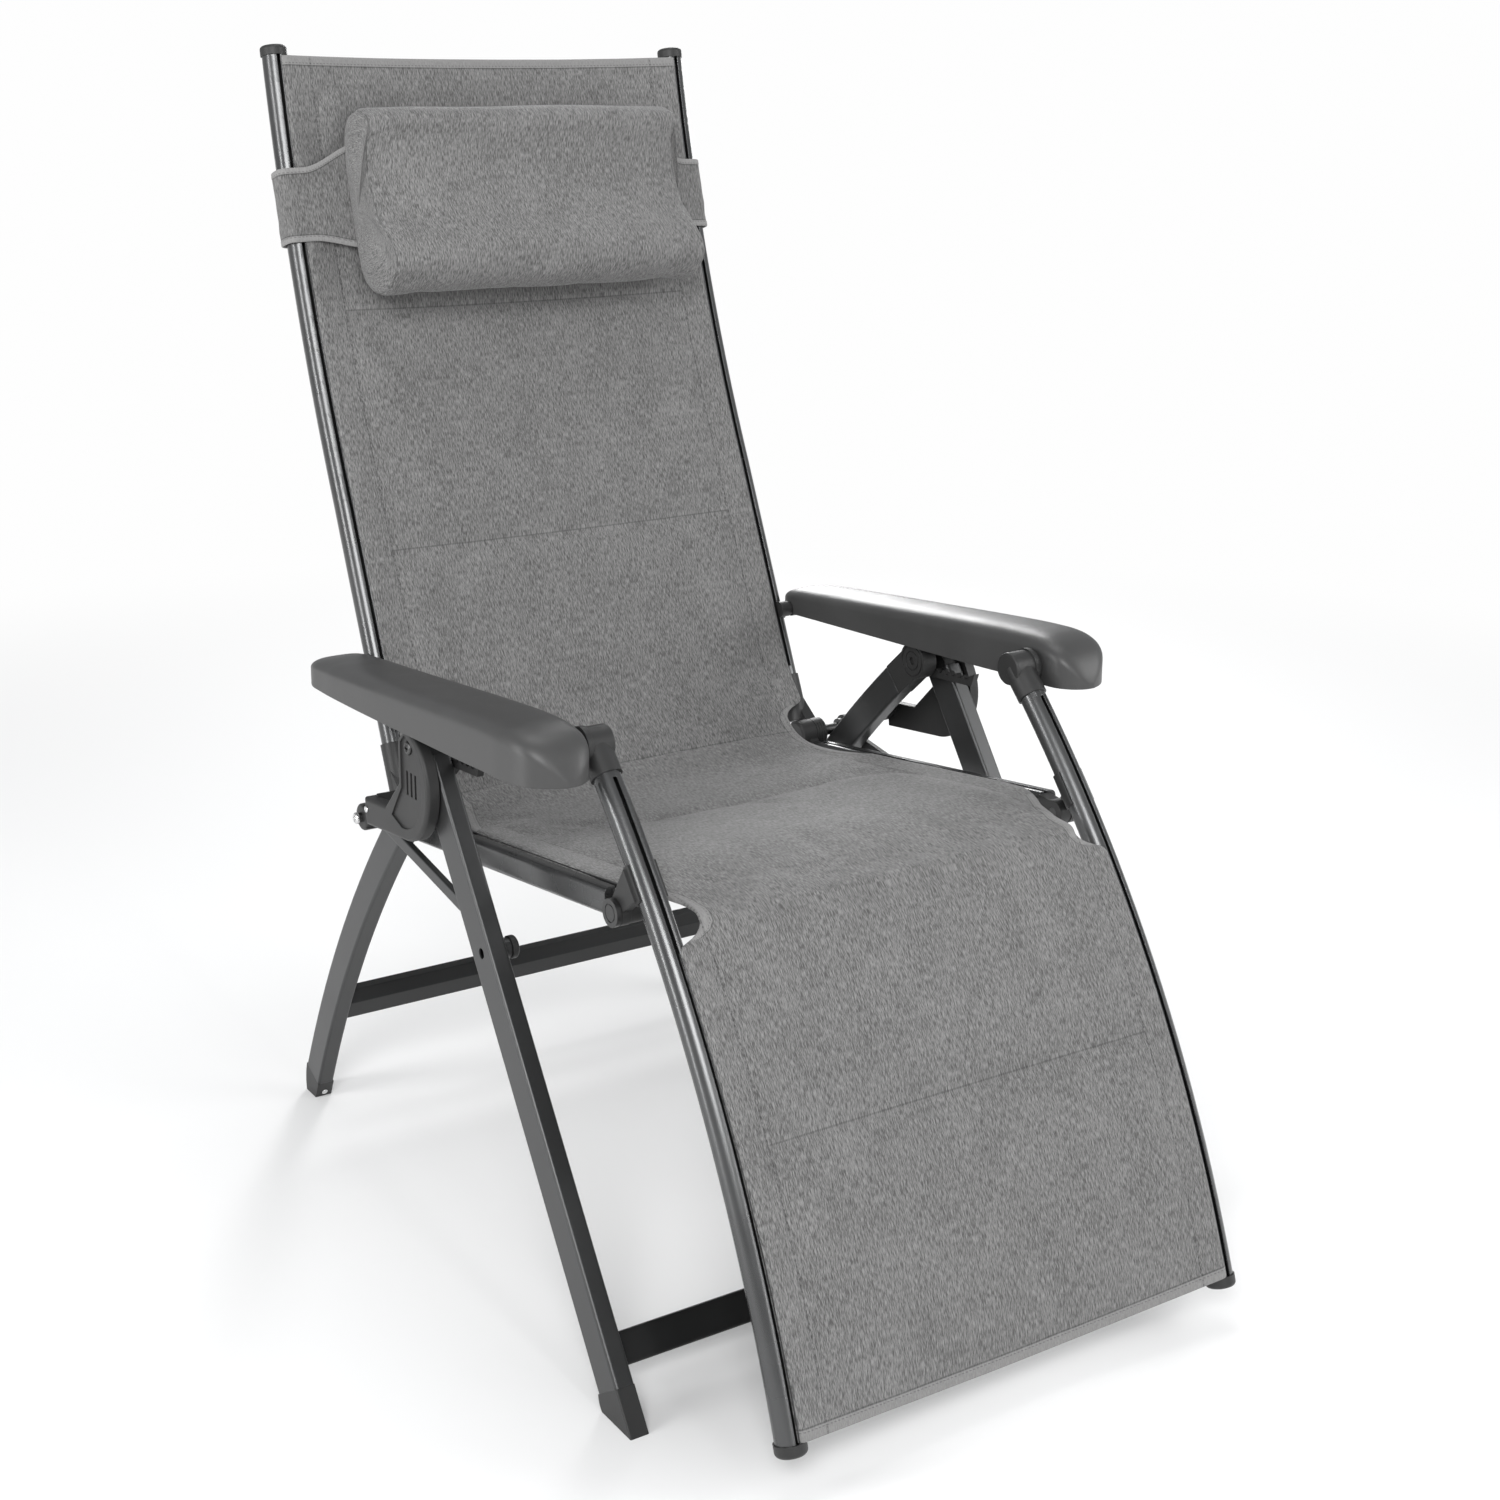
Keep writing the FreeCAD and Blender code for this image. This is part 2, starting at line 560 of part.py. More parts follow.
def back_lower_fitting():
    """Sleeve round the tube's lower end, with an eye on the rear axle."""
    x0, x1 = TUBE_X + 0.4, TUBE_X + 13.5
    sleeve_top = add(BACK_LOW, (BACK_DIR_LOW, 40.0))
    start = add(BACK_LOW, (BACK_DIR_LOW, -14.0))
    sleeve = rod(TUBE_X, start, sleeve_top, TUBE_R + 1.8)
    eye = disc(REAR_AXLE, 16.5, x0, x1)
    web = plate(x0, x1, [add(REAR_AXLE, (BACK_DIR_LOW, 14)), add(BACK_LOW, (BACK_DIR_LOW, 22)),
                         start, add(REAR_AXLE, (BACK_DIR_LOW, -12))])
    body = fuse(sleeve, eye, web)
    body = body.cut(rod(TUBE_X, BACK_LOW, add(sleeve_top, (BACK_DIR_LOW, 5)), TUBE_R))
    clear = disc(REAR_AXLE, 17.5, TUBE_X - 20, x0)
    body = body.cut(clear)
    # shallow rings round the front of the eye
    front_side = disc(add(REAR_AXLE, ((-1, 0), 12)), 14, x0, x1)
    for i in range(3):
        ring = disc(REAR_AXLE, 18.0, x0 + 2.4 + 3.6 * i, x0 + 3.6 + 3.6 * i)
        body = body.cut(ring.cut(disc(REAR_AXLE, 15.6, x0, x1)).common(front_side))
    return body.cut(disc(REAR_AXLE, BUSH_R + GAP, x0 - 1, x1 + 1))


def back_bush():
    """Bearing bush between the rear axle and the back's eye."""
    x0, x1 = TUBE_X + 0.8, TUBE_X + 13.3
    return disc(REAR_AXLE, BUSH_R, x0, x1).cut(disc(REAR_AXLE, PIN_R + GAP, x0, x1))


def end_cap(x, arc, path):
    """Domed collar cap on the end of a tube; the tube's last bend is the arc."""
    tip = arc[2]
    centre, _ = arc_centre(*arc)
    direction = left_of(unit(centre, tip))
    if direction[0] * (tip[0] - arc[0][0]) + direction[1] * (tip[1] - arc[0][1]) < 0:
        direction = (-direction[0], -direction[1])
    far_end = add(tip, (direction, 5.0))
    cap = rod(x, add(tip, (direction, -6.0)), far_end, TUBE_R + 1.4)
    rim = [e for e in cap.Edges if e.CenterOfMass.distanceToPoint(vec(x, far_end)) < 0.5]
    cap = cap.makeFillet(4.0, rim)
    return cap.cut(bent_solid(x, path, TUBE_R))


def back_crossbar():
    """Bowed spreader between the back tubes, behind the sling."""
    spot = add(BACK_LOW, (BACK_DIR_LOW, 270.0), (left_of(BACK_DIR_LOW), -4.0))
    bow = add(spot, (left_of(BACK_DIR_LOW), -42.0))
    half = TUBE_X - 6
    mid = FreeCAD.Vector(0, bow[0], bow[1])
    arc = Part.Arc(vec(-half, spot), mid, vec(half, spot)).toShape()
    tangent = arc.tangentAt(arc.FirstParameter)
    ring = Part.Wire(Part.makeCircle(8.0, vec(-half, spot), tangent))
    bar = Part.Wire([arc]).makePipeShell([ring], True, False)
    for side in SIDES.values():
        bar = bar.cut(bent_solid(side * TUBE_X, BACK_PATH, TUBE_R))
    return max(bar.Solids, key=lambda s: s.Volume)


def arm_bracket():
    """Small clamp on the back tube that carries the armrest's rear pivot."""
    on_tube = add(BACK_LOW, (BACK_DIR_LOW, 0.0))
    along = (ARM_REAR[0] - on_tube[0]) * BACK_DIR_LOW[0] + (ARM_REAR[1] - on_tube[1]) * BACK_DIR_LOW[1]
    spot = add(on_tube, (BACK_DIR_LOW, along))
    clamp = rod(TUBE_X, add(spot, (BACK_DIR_LOW, -9)), add(spot, (BACK_DIR_LOW, 9)), TUBE_R + 2)
    boss = disc(ARM_REAR, 9.0, TUBE_X, TUBE_X + 12.8)
    front_only = Part.makeBox(60, 200, 200, FreeCAD.Vector(TUBE_X, spot[0] - 100, spot[1] - 100))
    body = fuse(clamp.common(front_only), boss)
    return body.cut(rod(TUBE_X, BACK_LOW, BACK_KNEE, TUBE_R))


def sling_strip(points, forward, half_x):
    """Soft panel along an arc, in the front half of its tubes."""
    centre, _ = arc_centre(*points)
    near = [shifted(p, centre, forward * (TUBE_R - 0.5)) for p in points]
    far = [shifted(p, centre, forward * (TUBE_R - 0.5 - SLING_THICK)) for p in points]
    return plate(-half_x, half_x, [near[0], (near[1], near[2]), far[2], (far[1], far[0])])


def back_sling():
    """Padded back panel between the tubes."""
    start = add(BACK_LOW, (BACK_DIR_LOW, 42.0))
    side = left_of(BACK_DIR_LOW)
    near, far = TUBE_R - 0.5, TUBE_R - 0.5 - SLING_THICK
    steps = [add(start, (side, near)), add(BACK_KNEE, (side, near)),
             add(BACK_KNEE, (side, far)), add(start, (side, far))]
    low = plate(-SLING_HALF, SLING_HALF, steps)
    top = sling_strip(BACK_ARC, -1, SLING_HALF)
    return fuse(low, top)


BACK_DIR_PILLOW = unit((440.0, 958.0), (471.0, 1070.0))
PILLOW_FRONT = left_of(BACK_DIR_PILLOW)
PILLOW_MID = (455.0, 1010.0)


def on_back(along, forward):
    """A point measured from the tubes' axis behind the pillow."""
    return add(PILLOW_MID, (BACK_DIR_PILLOW, along), (PILLOW_FRONT, forward))


def head_pillow():
    """Bean-shaped bolster, thicker at its lower end."""
    back, front = 17.0, 118.0
    steps = [on_back(-78, back), (on_back(-108, back + 34), on_back(-88, front - 14)),
             (on_back(-62, front), on_back(-30, front - 4)), on_back(46, front - 20),
             (on_back(92, back + 50), on_back(70, back))]
    return plate(-190, 190, steps)


def pillow_strap():
    """Wide band that holds the pillow, looped round both tubes."""
    low, high = -44.0, 36.0
    thick = 1.2
    front, rear = 15.2, -16.0
    outer_x = TUBE_X + 15.4
    outer = [on_back(low, rear), on_back(high, rear), on_back(high, front), on_back(low, front)]
    inner = [on_back(low - 1, rear + thick), on_back(high + 1, rear + thick),
             on_back(high + 1, front - thick), on_back(low - 1, front - thick)]
    band_solid = plate(-outer_x, outer_x, outer)
    band_solid = band_solid.makeFillet(10.0, [e for e in band_solid.Edges if abs(e.Length - (high - low)) < 0.5])
    hollow = plate(-outer_x + thick, outer_x - thick, inner)
    hollow = hollow.makeFillet(9.0, [e for e in hollow.Edges if abs(e.Length - (high - low + 2)) < 0.5])
    return band_solid.cut(hollow)


# ------------------------------------------------------------------ legrest
LEGREST_ARC = (ARM_FRONT, LEGREST_MID, LEGREST_LOW)
LEGREST_CENTRE, LEGREST_RADIUS = arc_centre(*LEGREST_ARC)
# the arc's centre lies behind the legrest, so forward is away from it


def on_legrest(along, forward=0.0):
    """A point along the legrest tube from its top; forward is away from the seat."""
    start = math.atan2(ARM_FRONT[1] - LEGREST_CENTRE[1], ARM_FRONT[0] - LEGREST_CENTRE[0])
    angle = start + along / LEGREST_RADIUS
    r = LEGREST_RADIUS + forward
    return (LEGREST_CENTRE[0] + r * math.cos(angle), LEGREST_CENTRE[1] + r * math.sin(angle))


LEGREST_LONG = LEGREST_RADIUS * 2 * math.asin(math.dist(ARM_FRONT, LEGREST_LOW) / 2 / LEGREST_RADIUS)


def legrest_span(start, end):
    return tuple(on_legrest(s) for s in (start, (start + end) / 2, end))


TEE_AT = 14.0                    # the tube starts this far below the T-piece's axis


def legrest_tube():
    """Bowed tube with a groove along its front."""
    span = legrest_span(TEE_AT, LEGREST_LONG)
    tube = bent_tube(LEGREST_X, [span[0], (span[1], span[2])], TUBE_R, TUBE_WALL)
    slot = legrest_span(40.0, LEGREST_LONG)
    return tube.cut(groove_strip(LEGREST_X, slot, 1, GROOVE_WIDE))


def legrest_tee():
    """T-piece on the tube's top: a cross barrel with a collar and a pin."""
    down = unit(ARM_FRONT, on_legrest(30.0))
    barrel = disc(ARM_FRONT, 16.5, LEGREST_X - 14, LEGREST_X + 13)
    barrel = barrel.makeFillet(2.0, [e for e in barrel.Edges if e.BoundBox.XMax < LEGREST_X - 13.9])
    collar = disc(ARM_FRONT, 18.0, LEGREST_X + 9, LEGREST_X + 14.5)
    neck = disc(ARM_FRONT, 14.5, LEGREST_X + 14.5, ARM_IN - 0.4)
    pin = disc(ARM_FRONT, PIN_R, ARM_IN - 0.4, ARM_IN + 16)
    sleeve = rod(LEGREST_X, ARM_FRONT, add(ARM_FRONT, (down, 34.0)), TUBE_R + 2)
    body = fuse(barrel, collar, neck, pin, sleeve)
    span = legrest_span(TEE_AT, 60.0)
    return body.cut(bent_solid(LEGREST_X, [span[0], (span[1], span[2])], TUBE_R))


KNEE_BARREL_R = 9.0


def legrest_bracket():
    """Saddle on the tube with an ear that reaches back to the knee pivot."""
    at = 134.0
    ear_x0, ear_x1 = TUBE_X + 3.0, TUBE_X + 12.5
    saddle = rod(LEGREST_X, on_legrest(at - 16), on_legrest(at + 18), TUBE_R + 2)
    tube_front = [on_legrest(at - 30, 4), on_legrest(at + 30, 4), on_legrest(at + 30, 40), on_legrest(at - 30, 40)]
    saddle = saddle.cut(plate(LEGREST_X - 30, LEGREST_X + 30, tube_front))
    ear = plate(ear_x0, ear_x1, [on_legrest(at - 14, 0), on_legrest(at + 16, 0),
                                 add(KNEE, ((0.4, -0.9), 12)), add(KNEE, ((0.5, 0.86), 12))])
    body = fuse(saddle, ear, disc(KNEE, 13.0, ear_x0, ear_x1))
    span = legrest_span(80.0, 200.0)
    body = body.cut(bent_solid(LEGREST_X, [span[0], (span[1], span[2])], TUBE_R))
    body = body.cut(disc(KNEE, 13.5, TUBE_X - 40, ear_x0))
    body = max(body.Solids, key=lambda s: s.Volume)
    return body.cut(disc(KNEE, KNEE_BARREL_R + GAP, ear_x0 - 1, ear_x1 + 1))


def knee_pin():
    """Stepped pivot pin: a thick barrel in the ear and a broad round head outside it."""
    pin = disc(KNEE, PIN_R, TUBE_X - 11, TUBE_X + 13)
    barrel = disc(KNEE, KNEE_BARREL_R, TUBE_X + 3.2, TUBE_X + 13)
    head = disc(KNEE, 13.0, TUBE_X + 13, TUBE_X + 18).cut(
        disc(KNEE, 8.6, TUBE_X + 17.2, TUBE_X + 19).cut(disc(KNEE, 7.4, TUBE_X + 17.2, TUBE_X + 19)))
    return fuse(pin, barrel, head)


def legrest_sling():
    """Padded legrest panel between the tubes."""
    return sling_strip(legrest_span(172.0, LEGREST_LONG - 8), 1, LEGREST_X - TUBE_R - 0.5)


def legrest_crossbar():
    """Bowed spreader between the legrest tubes, behind the sling."""
    spot = on_legrest(420.0)
    bow = on_legrest(420.0, -42.0)
    half = LEGREST_X - 6
    arc = Part.Arc(vec(-half, spot), vec(0, bow), vec(half, spot)).toShape()
    tangent = arc.tangentAt(arc.FirstParameter)
    ring = Part.Wire(Part.makeCircle(8.0, vec(-half, spot), tangent))
    bar = Part.Wire([arc]).makePipeShell([ring], True, False)
    span = legrest_span(300.0, 540.0)
    for side in SIDES.values():
        bar = bar.cut(bent_solid(side * LEGREST_X, [span[0], (span[1], span[2])], TUBE_R))
    return max(bar.Solids, key=lambda s: s.Volume)


# ------------------------------------------------------------------ armrests
ARM_REAR_END = 276.0
ARM_NOSE = -228.0
ARM_ROOF = 24.0                  # roof of the hollow above the line of the pivots
ARM_ALONG = unit(ARM_REAR, ARM_FRONT)
ARM_UP = (-ARM_ALONG[1], ARM_ALONG[0])
if ARM_UP[1] < 0:
    ARM_UP = (-ARM_UP[0], -ARM_UP[1])


def on_arm(along, up):
    """A point measured from the rear pivot, along the armrest and up."""
    return add(ARM_REAR, (ARM_ALONG, along), (ARM_UP, up))


def plan_solid(points, z0, z1):
    """A plan outline of (x, y) points, given height."""
    edges = []
    start = points[0]
    here = start
    for step in list(points[1:]) + [start]:
        if isinstance(step[0], tuple):
            middle, end = step
            arc = Part.Arc(FreeCAD.Vector(*here, z0), FreeCAD.Vector(*middle, z0), FreeCAD.Vector(*end, z0))
            edges.append(arc.toShape())
        else:
            end = step
            if math.dist(here, end) > 1e-6:
                edges.append(Part.makeLine(FreeCAD.Vector(*here, z0), FreeCAD.Vector(*end, z0)))
        here = end
    return Part.Face(Part.Wire(edges)).extrude(FreeCAD.Vector(0, 0, z1 - z0))


def arm_outer():
    """Armrest body: straight sides, domed top, rounded nose that droops."""
    side_view = [(ARM_REAR_END, 531.0), (ARM_REAR_END - 2, 556.0),
                 ((262.0, 569.0), (240.0, 573.0)),
                 ((60.0, 585.0), (-140.0, 597.0)),
                 ((-204.0, 588.0), (ARM_NOSE, 556.0)), (-222.0, 549.0),
                 ((-150.0, 549.0), (-100.0, 546.0))]
    side = plate(ARM_IN - 20, ARM_OUT + 20, side_view)
    plan = [(ARM_IN + 10, ARM_REAR_END), (ARM_IN, ARM_REAR_END - 12), (ARM_IN, ARM_NOSE + 26),
            ((ARM_IN + 9, ARM_NOSE + 7), (ARM_IN + 30, ARM_NOSE)),
            ((ARM_OUT - 9, ARM_NOSE + 14), (ARM_OUT, ARM_NOSE + 52)),
            (ARM_OUT, 40.0), (ARM_OUT - 9, ARM_REAR_END - 22), (ARM_OUT - 22, ARM_REAR_END)]
    body = side.common(plan_solid(plan, 500.0, 640.0))
    top = [e for e in body.Edges if e.BoundBox.ZMin > 555.0 and e.BoundBox.YLength > 60]
    return body.makeFillet(11.0, top)


def arm_hollow():
    """The open hollow under the armrest's roof."""
    roof = [on_arm(-12, -40), on_arm(-12, ARM_ROOF - 4), on_arm(20, ARM_ROOF),
            on_arm(390, ARM_ROOF), on_arm(446, ARM_ROOF - 14), on_arm(448, -40)]
    return plate(ARM_IN + ARM_WALL, ARM_OUT - ARM_WALL, roof)


def armrest():
    body = arm_outer()
    body = body.cut(arm_hollow().cut(taper_wedge()))
    # bosses for the rear pivot bolt and the T-piece's pin
    inner = ARM_IN + ARM_WALL - 0.5
    rear_boss = disc(ARM_REAR, 9.0, inner, inner + 16)
    front_boss = disc(ARM_FRONT, 10.0, inner, inner + 16)
    body = fuse(body, rear_boss, front_boss)
    body = body.cut(disc(ARM_REAR, 4.0 + GAP, ARM_IN - 1, inner + 17))
    return body.cut(disc(ARM_FRONT, PIN_R + 1.0, ARM_IN - 1, inner + 17))


def taper_wedge():
    """Keeps the outer wall whole where the armrest narrows at its rear."""
    wedge = [(ARM_OUT - ARM_WALL, 40.0), (ARM_OUT - 9 - ARM_WALL, ARM_REAR_END - 22),
             (ARM_OUT - 26, ARM_REAR_END), (ARM_OUT, ARM_REAR_END), (ARM_OUT, 40.0)]
    return plan_solid(wedge, 480.0, 640.0)


ROLLER_AT = (224.6, -29.2)       # the hinge, measured from the armrest's rear pivot
RACK_SPAN = (208.5, 300.0)
RACK_POST = 7.0
RACK_TEETH = 7
RACK_PITCH = 11.0


def latch_rack():
    """Hooked rack under the armrest's roof, between the legs."""
    bar_top = ROLLER_AT[1] - ROLLER_R - 3.8
    bar_low = bar_top - 8
    rear, front = RACK_SPAN
    steps = [on_arm(rear, ARM_ROOF), on_arm(rear, bar_low), on_arm(front, bar_low), on_arm(front + 6, bar_top + 6)]
    for i in range(RACK_TEETH):
        along = front - 3 - RACK_PITCH * i
        steps.append(on_arm(along, bar_top + 2.5))
        steps.append(on_arm(along - 3, bar_top - 1.5))
        steps.append(on_arm(along - 8, bar_top - 1.5))
    steps.append(on_arm(rear + RACK_POST, bar_top + 2))
    steps.append(on_arm(rear + RACK_POST, ARM_ROOF))
    return plate(LINK_IN + 0.2, LINK_OUT - 0.2, steps)


def rack_screw():
    return pan_screw(on_arm(RACK_SPAN[0] + 4.5, -41), 3.2, LINK_OUT - 0.2, LINK_OUT + 0.9)


def armrest_pivot():
    """Shouldered bolt from the back tube's clamp into the armrest, with a barrel nut inside it."""
    shank = disc(ARM_REAR, 4.0, TUBE_X + 13.4, ARM_IN + 22)
    nut = disc(ARM_REAR, 11.0, ARM_IN + 19.4, ARM_IN + 36)
    return fuse(shank, nut, disc(ARM_REAR, 8.0, TUBE_X + 13.1, ARM_IN - GAP))


# ------------------------------------------------------------------ build
def main():
    os.makedirs("parts", exist_ok=True)

    save_sides("front_leg", front_leg())
    save_sides("front_foot", front_foot())
    save("front_crossbar", front_crossbar())
    save_pair("front_leg_top_caps", front_top_cap())
    save_pair("hinge_bolts", hinge_bolt())
    save_pair("latch_rollers", latch_roller())
    save_pair("link_pivots", link_pivot())

    save_sides("rear_leg", rear_leg())
    save_sides("rear_foot", rear_foot())
    save_pair("rear_foot_screws", rear_foot_screw())
    save("rear_crossbar", rear_crossbar())
    save_sides("rear_leg_fitting", rear_leg_fitting())
    save_sides("hinge_guard", hinge_guard())
    save_pair("guard_screws", guard_screw())

    save_sides("link", link())
    save_sides("axle", axle())
    save_pair("axle_hubs", axle_hub())
    save_pair("axle_screws", axle_screw())

    save_sides("seat_rail", seat_rail())
    save_sides("seat_rear_fitting", seat_rear_fitting())
    save_sides("seat_front_fitting", seat_front_fitting())
    save("seat_sling", seat_sling())

    save_pair("back_bushes", back_bush())
    save_sides("back_tube", back_tube())
    save_sides("back_lower_fitting", back_lower_fitting())
    save_pair("back_top_caps", end_cap(TUBE_X, BACK_ARC, BACK_PATH))
    save("back_crossbar", back_crossbar())
    save_pair("armrest_clamps", arm_bracket())
    save("back_sling", back_sling())
    save("head_pillow", head_pillow())
    save("pillow_strap", pillow_strap())

    save_pair("knee_pins", knee_pin())
    save_sides("legrest_tube", legrest_tube())
    save_sides("legrest_tee", legrest_tee())
    save_sides("legrest_bracket", legrest_bracket())
    span = legrest_span(TEE_AT, LEGREST_LONG)
    legrest_path = [span[0], (span[1], span[2])]
    save_pair("legrest_end_caps", end_cap(LEGREST_X, LEGREST_ARC, legrest_path))
    save("legrest_crossbar", legrest_crossbar())
    save("legrest_sling", legrest_sling())

    save_pair("armrest_pivots", armrest_pivot())
    save_sides("armrest", armrest())
    save_sides("latch_rack", latch_rack())
    save_pair("latch_rack_screws", rack_screw())


main()
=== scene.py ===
import json
import math

import bmesh
import bpy
import numpy as np
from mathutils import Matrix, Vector


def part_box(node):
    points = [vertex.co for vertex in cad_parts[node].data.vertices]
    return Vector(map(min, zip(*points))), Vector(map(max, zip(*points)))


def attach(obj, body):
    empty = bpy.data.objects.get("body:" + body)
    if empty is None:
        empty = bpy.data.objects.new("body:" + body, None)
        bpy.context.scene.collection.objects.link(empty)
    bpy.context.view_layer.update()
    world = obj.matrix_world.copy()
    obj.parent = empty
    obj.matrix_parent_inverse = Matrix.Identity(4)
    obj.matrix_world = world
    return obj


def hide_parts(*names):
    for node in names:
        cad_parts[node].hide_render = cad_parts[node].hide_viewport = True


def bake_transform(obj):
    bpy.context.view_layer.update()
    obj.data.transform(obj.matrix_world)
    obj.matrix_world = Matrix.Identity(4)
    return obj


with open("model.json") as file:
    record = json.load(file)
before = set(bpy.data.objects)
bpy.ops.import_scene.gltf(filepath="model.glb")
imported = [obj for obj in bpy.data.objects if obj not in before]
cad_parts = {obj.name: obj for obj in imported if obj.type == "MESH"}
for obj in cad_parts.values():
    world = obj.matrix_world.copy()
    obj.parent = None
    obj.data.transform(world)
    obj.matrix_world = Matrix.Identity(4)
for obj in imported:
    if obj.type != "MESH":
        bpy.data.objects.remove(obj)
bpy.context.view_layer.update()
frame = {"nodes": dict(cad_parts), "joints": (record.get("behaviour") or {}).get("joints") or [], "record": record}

# Folding relax chair: the padded sling, head pillow, strap and all materials.
# Metres, in the CAD frame: X across, -Y the way a sitter faces, Z up.
# Side-view points are written (y, z). Fabric coordinates are u across and v along.

# ---- the frame's lines in side view, as in the CAD model ----
JOINT_AT = {j["name"]: (j["pos_m"][1], j["pos_m"][2]) for j in frame["joints"]}
BACK_LOW = (0.221, 0.425)
BACK_ARC = ((0.341, 0.700), (0.437, 0.949), (0.493, 1.170))
LEGREST_ARC = ((-0.176, 0.567), (-0.374, 0.307), (-0.492, 0.044))
RAIL_LINE = ((0.196, 0.384), (-0.222, 0.436))
TUBE_R = 0.013
BACK_X = 0.250
LEGREST_X = 0.245

# ---- sling ----
EDGE_BACK = BACK_X - 0.002
EDGE_LEGREST = LEGREST_X - 0.0015
EDGE_SEAT = BACK_X - 0.003
SIDE_SEAM = 0.2136               # side seams run this far from the middle
CLOTH_LIFT = 0.0016              # cloth surface over the tube it is stretched across
EDGE_THICK = 0.0024
ROW_STEP = 0.0085
SEAM_HALF = 0.0028
PUFF_CAP = 0.0045
BINDING = 0.0105                 # width of the binding tape
KEDER_DIP = 0.0042


# ------------------------------------------------------------------ small maths
def arc_circle(arc):
    """Centre and radius of the circle through three side-view points."""
    p, q, r = arc
    d = 2 * (p[0] * (q[1] - r[1]) + q[0] * (r[1] - p[1]) + r[0] * (p[1] - q[1]))
    pp, qq, rr = (a[0] ** 2 + a[1] ** 2 for a in arc)
    y = (pp * (q[1] - r[1]) + qq * (r[1] - p[1]) + rr * (p[1] - q[1])) / d
    z = (pp * (r[0] - q[0]) + qq * (p[0] - r[0]) + rr * (q[0] - p[0])) / d
    return np.array((y, z)), math.hypot(p[0] - y, p[1] - z)


def arc_points(arc, offset, count, start=0.0, stop=1.0):
    """Points along an arc, pushed away from its centre by offset."""
    centre, radius = arc_circle(arc)
    first = math.atan2(arc[0][1] - centre[1], arc[0][0] - centre[0])
    last = math.atan2(arc[2][1] - centre[1], arc[2][0] - centre[0])
    turn = (last - first + math.pi) % (2 * math.pi) - math.pi
    angles = first + turn * np.linspace(start, stop, count)
    r = radius + offset
    return np.stack([centre[0] + r * np.cos(angles), centre[1] + r * np.sin(angles)], 1)


def arc_length(arc):
    _, radius = arc_circle(arc)
    return 2 * radius * math.asin(math.dist(arc[0], arc[2]) / 2 / radius)


def smooth(x):
    x = np.clip(x, 0.0, 1.0)
    return x * x * (3 - 2 * x)


def noise_of(seed, *coords):
    """Smooth repeatable noise: a few sine waves in random directions."""
    rng = np.random.default_rng(seed)
    total = 0.0
    for _ in range(7):
        phase = rng.uniform(0, 2 * math.pi)
        for c in coords:
            phase = phase + c * rng.uniform(-1.0, 1.0) * 2 * math.pi
        total = total + np.sin(phase)
    return total / 7


def round_corners(points, radii, step):
    """Rounds a polyline's inner points and samples it evenly."""
    points = [np.array(p, float) for p in points]
    out = [points[0]]
    for i in range(1, len(points) - 1):
        a, b, c = points[i - 1], points[i], points[i + 1]
        into, away = (b - a) / np.linalg.norm(b - a), (c - b) / np.linalg.norm(c - b)
        cut = min(radii[i], np.linalg.norm(b - a) * 0.49, np.linalg.norm(c - b) * 0.49)
        if cut <= 0:
            out.append(b)
            continue
        for t in np.linspace(0, 1, 12):
            out.append((b - into * cut) * (1 - t) ** 2 + b * 2 * t * (1 - t) + (b + away * cut) * t ** 2)
    out.append(points[-1])
    line = np.array(out)
    run = np.concatenate([[0], np.cumsum(np.linalg.norm(np.diff(line, axis=0), axis=1))])
    count = int(run[-1] / step) + 1
    even = np.linspace(0, run[-1], count)
    return np.stack([np.interp(even, run, line[:, 0]), np.interp(even, run, line[:, 1])], 1)


# ------------------------------------------------------------------ mesh helpers
def make_mesh(name, verts, faces, attributes=None):
    mesh = bpy.data.meshes.new(name)
    mesh.from_pydata([tuple(v) for v in verts], [], [tuple(f) for f in faces])
    for key, values in (attributes or {}).items():
        layer = mesh.attributes.new(key, "FLOAT", "POINT")
        layer.data.foreach_set("value", np.asarray(values, np.float32))
    mesh.validate()
    # every face looks outwards, so that pressure swells a piece and never sucks it in
    shape = bmesh.new()
    shape.from_mesh(mesh)
    bmesh.ops.recalc_face_normals(shape, faces=shape.faces)
    shape.to_mesh(mesh)
    shape.free()
    mesh.update()
    mesh.shade_smooth()
    obj = bpy.data.objects.new(name, mesh)
    bpy.context.scene.collection.objects.link(obj)
    return obj


def points_of(mesh):
    co = np.zeros(len(mesh.vertices) * 3, np.float32)
    mesh.vertices.foreach_get("co", co)
    return co.reshape(-1, 3).astype(float)


def set_points(mesh, co):
    mesh.vertices.foreach_set("co", np.asarray(co, np.float32).ravel())
    mesh.update()


def values_of(mesh, key):
    out = np.zeros(len(mesh.vertices), np.float32)
    mesh.attributes[key].data.foreach_get("value", out)
    return out.astype(float)


def baked(obj, modifier_setup):
    """Adds a modifier, then replaces the object's mesh with the result."""
    modifier_setup(obj)
    graph = bpy.context.evaluated_depsgraph_get()
    mesh = bpy.data.meshes.new_from_object(obj.evaluated_get(graph))
    obj.modifiers.clear()
    obj.data = mesh
    return obj


def subdivide(obj, levels=1):
    def setup(o):
        mod = o.modifiers.new("Subdivision", "SUBSURF")
        mod.levels = levels
        mod.render_levels = levels
    baked(obj, setup)
    obj.data.shade_smooth()
    return obj


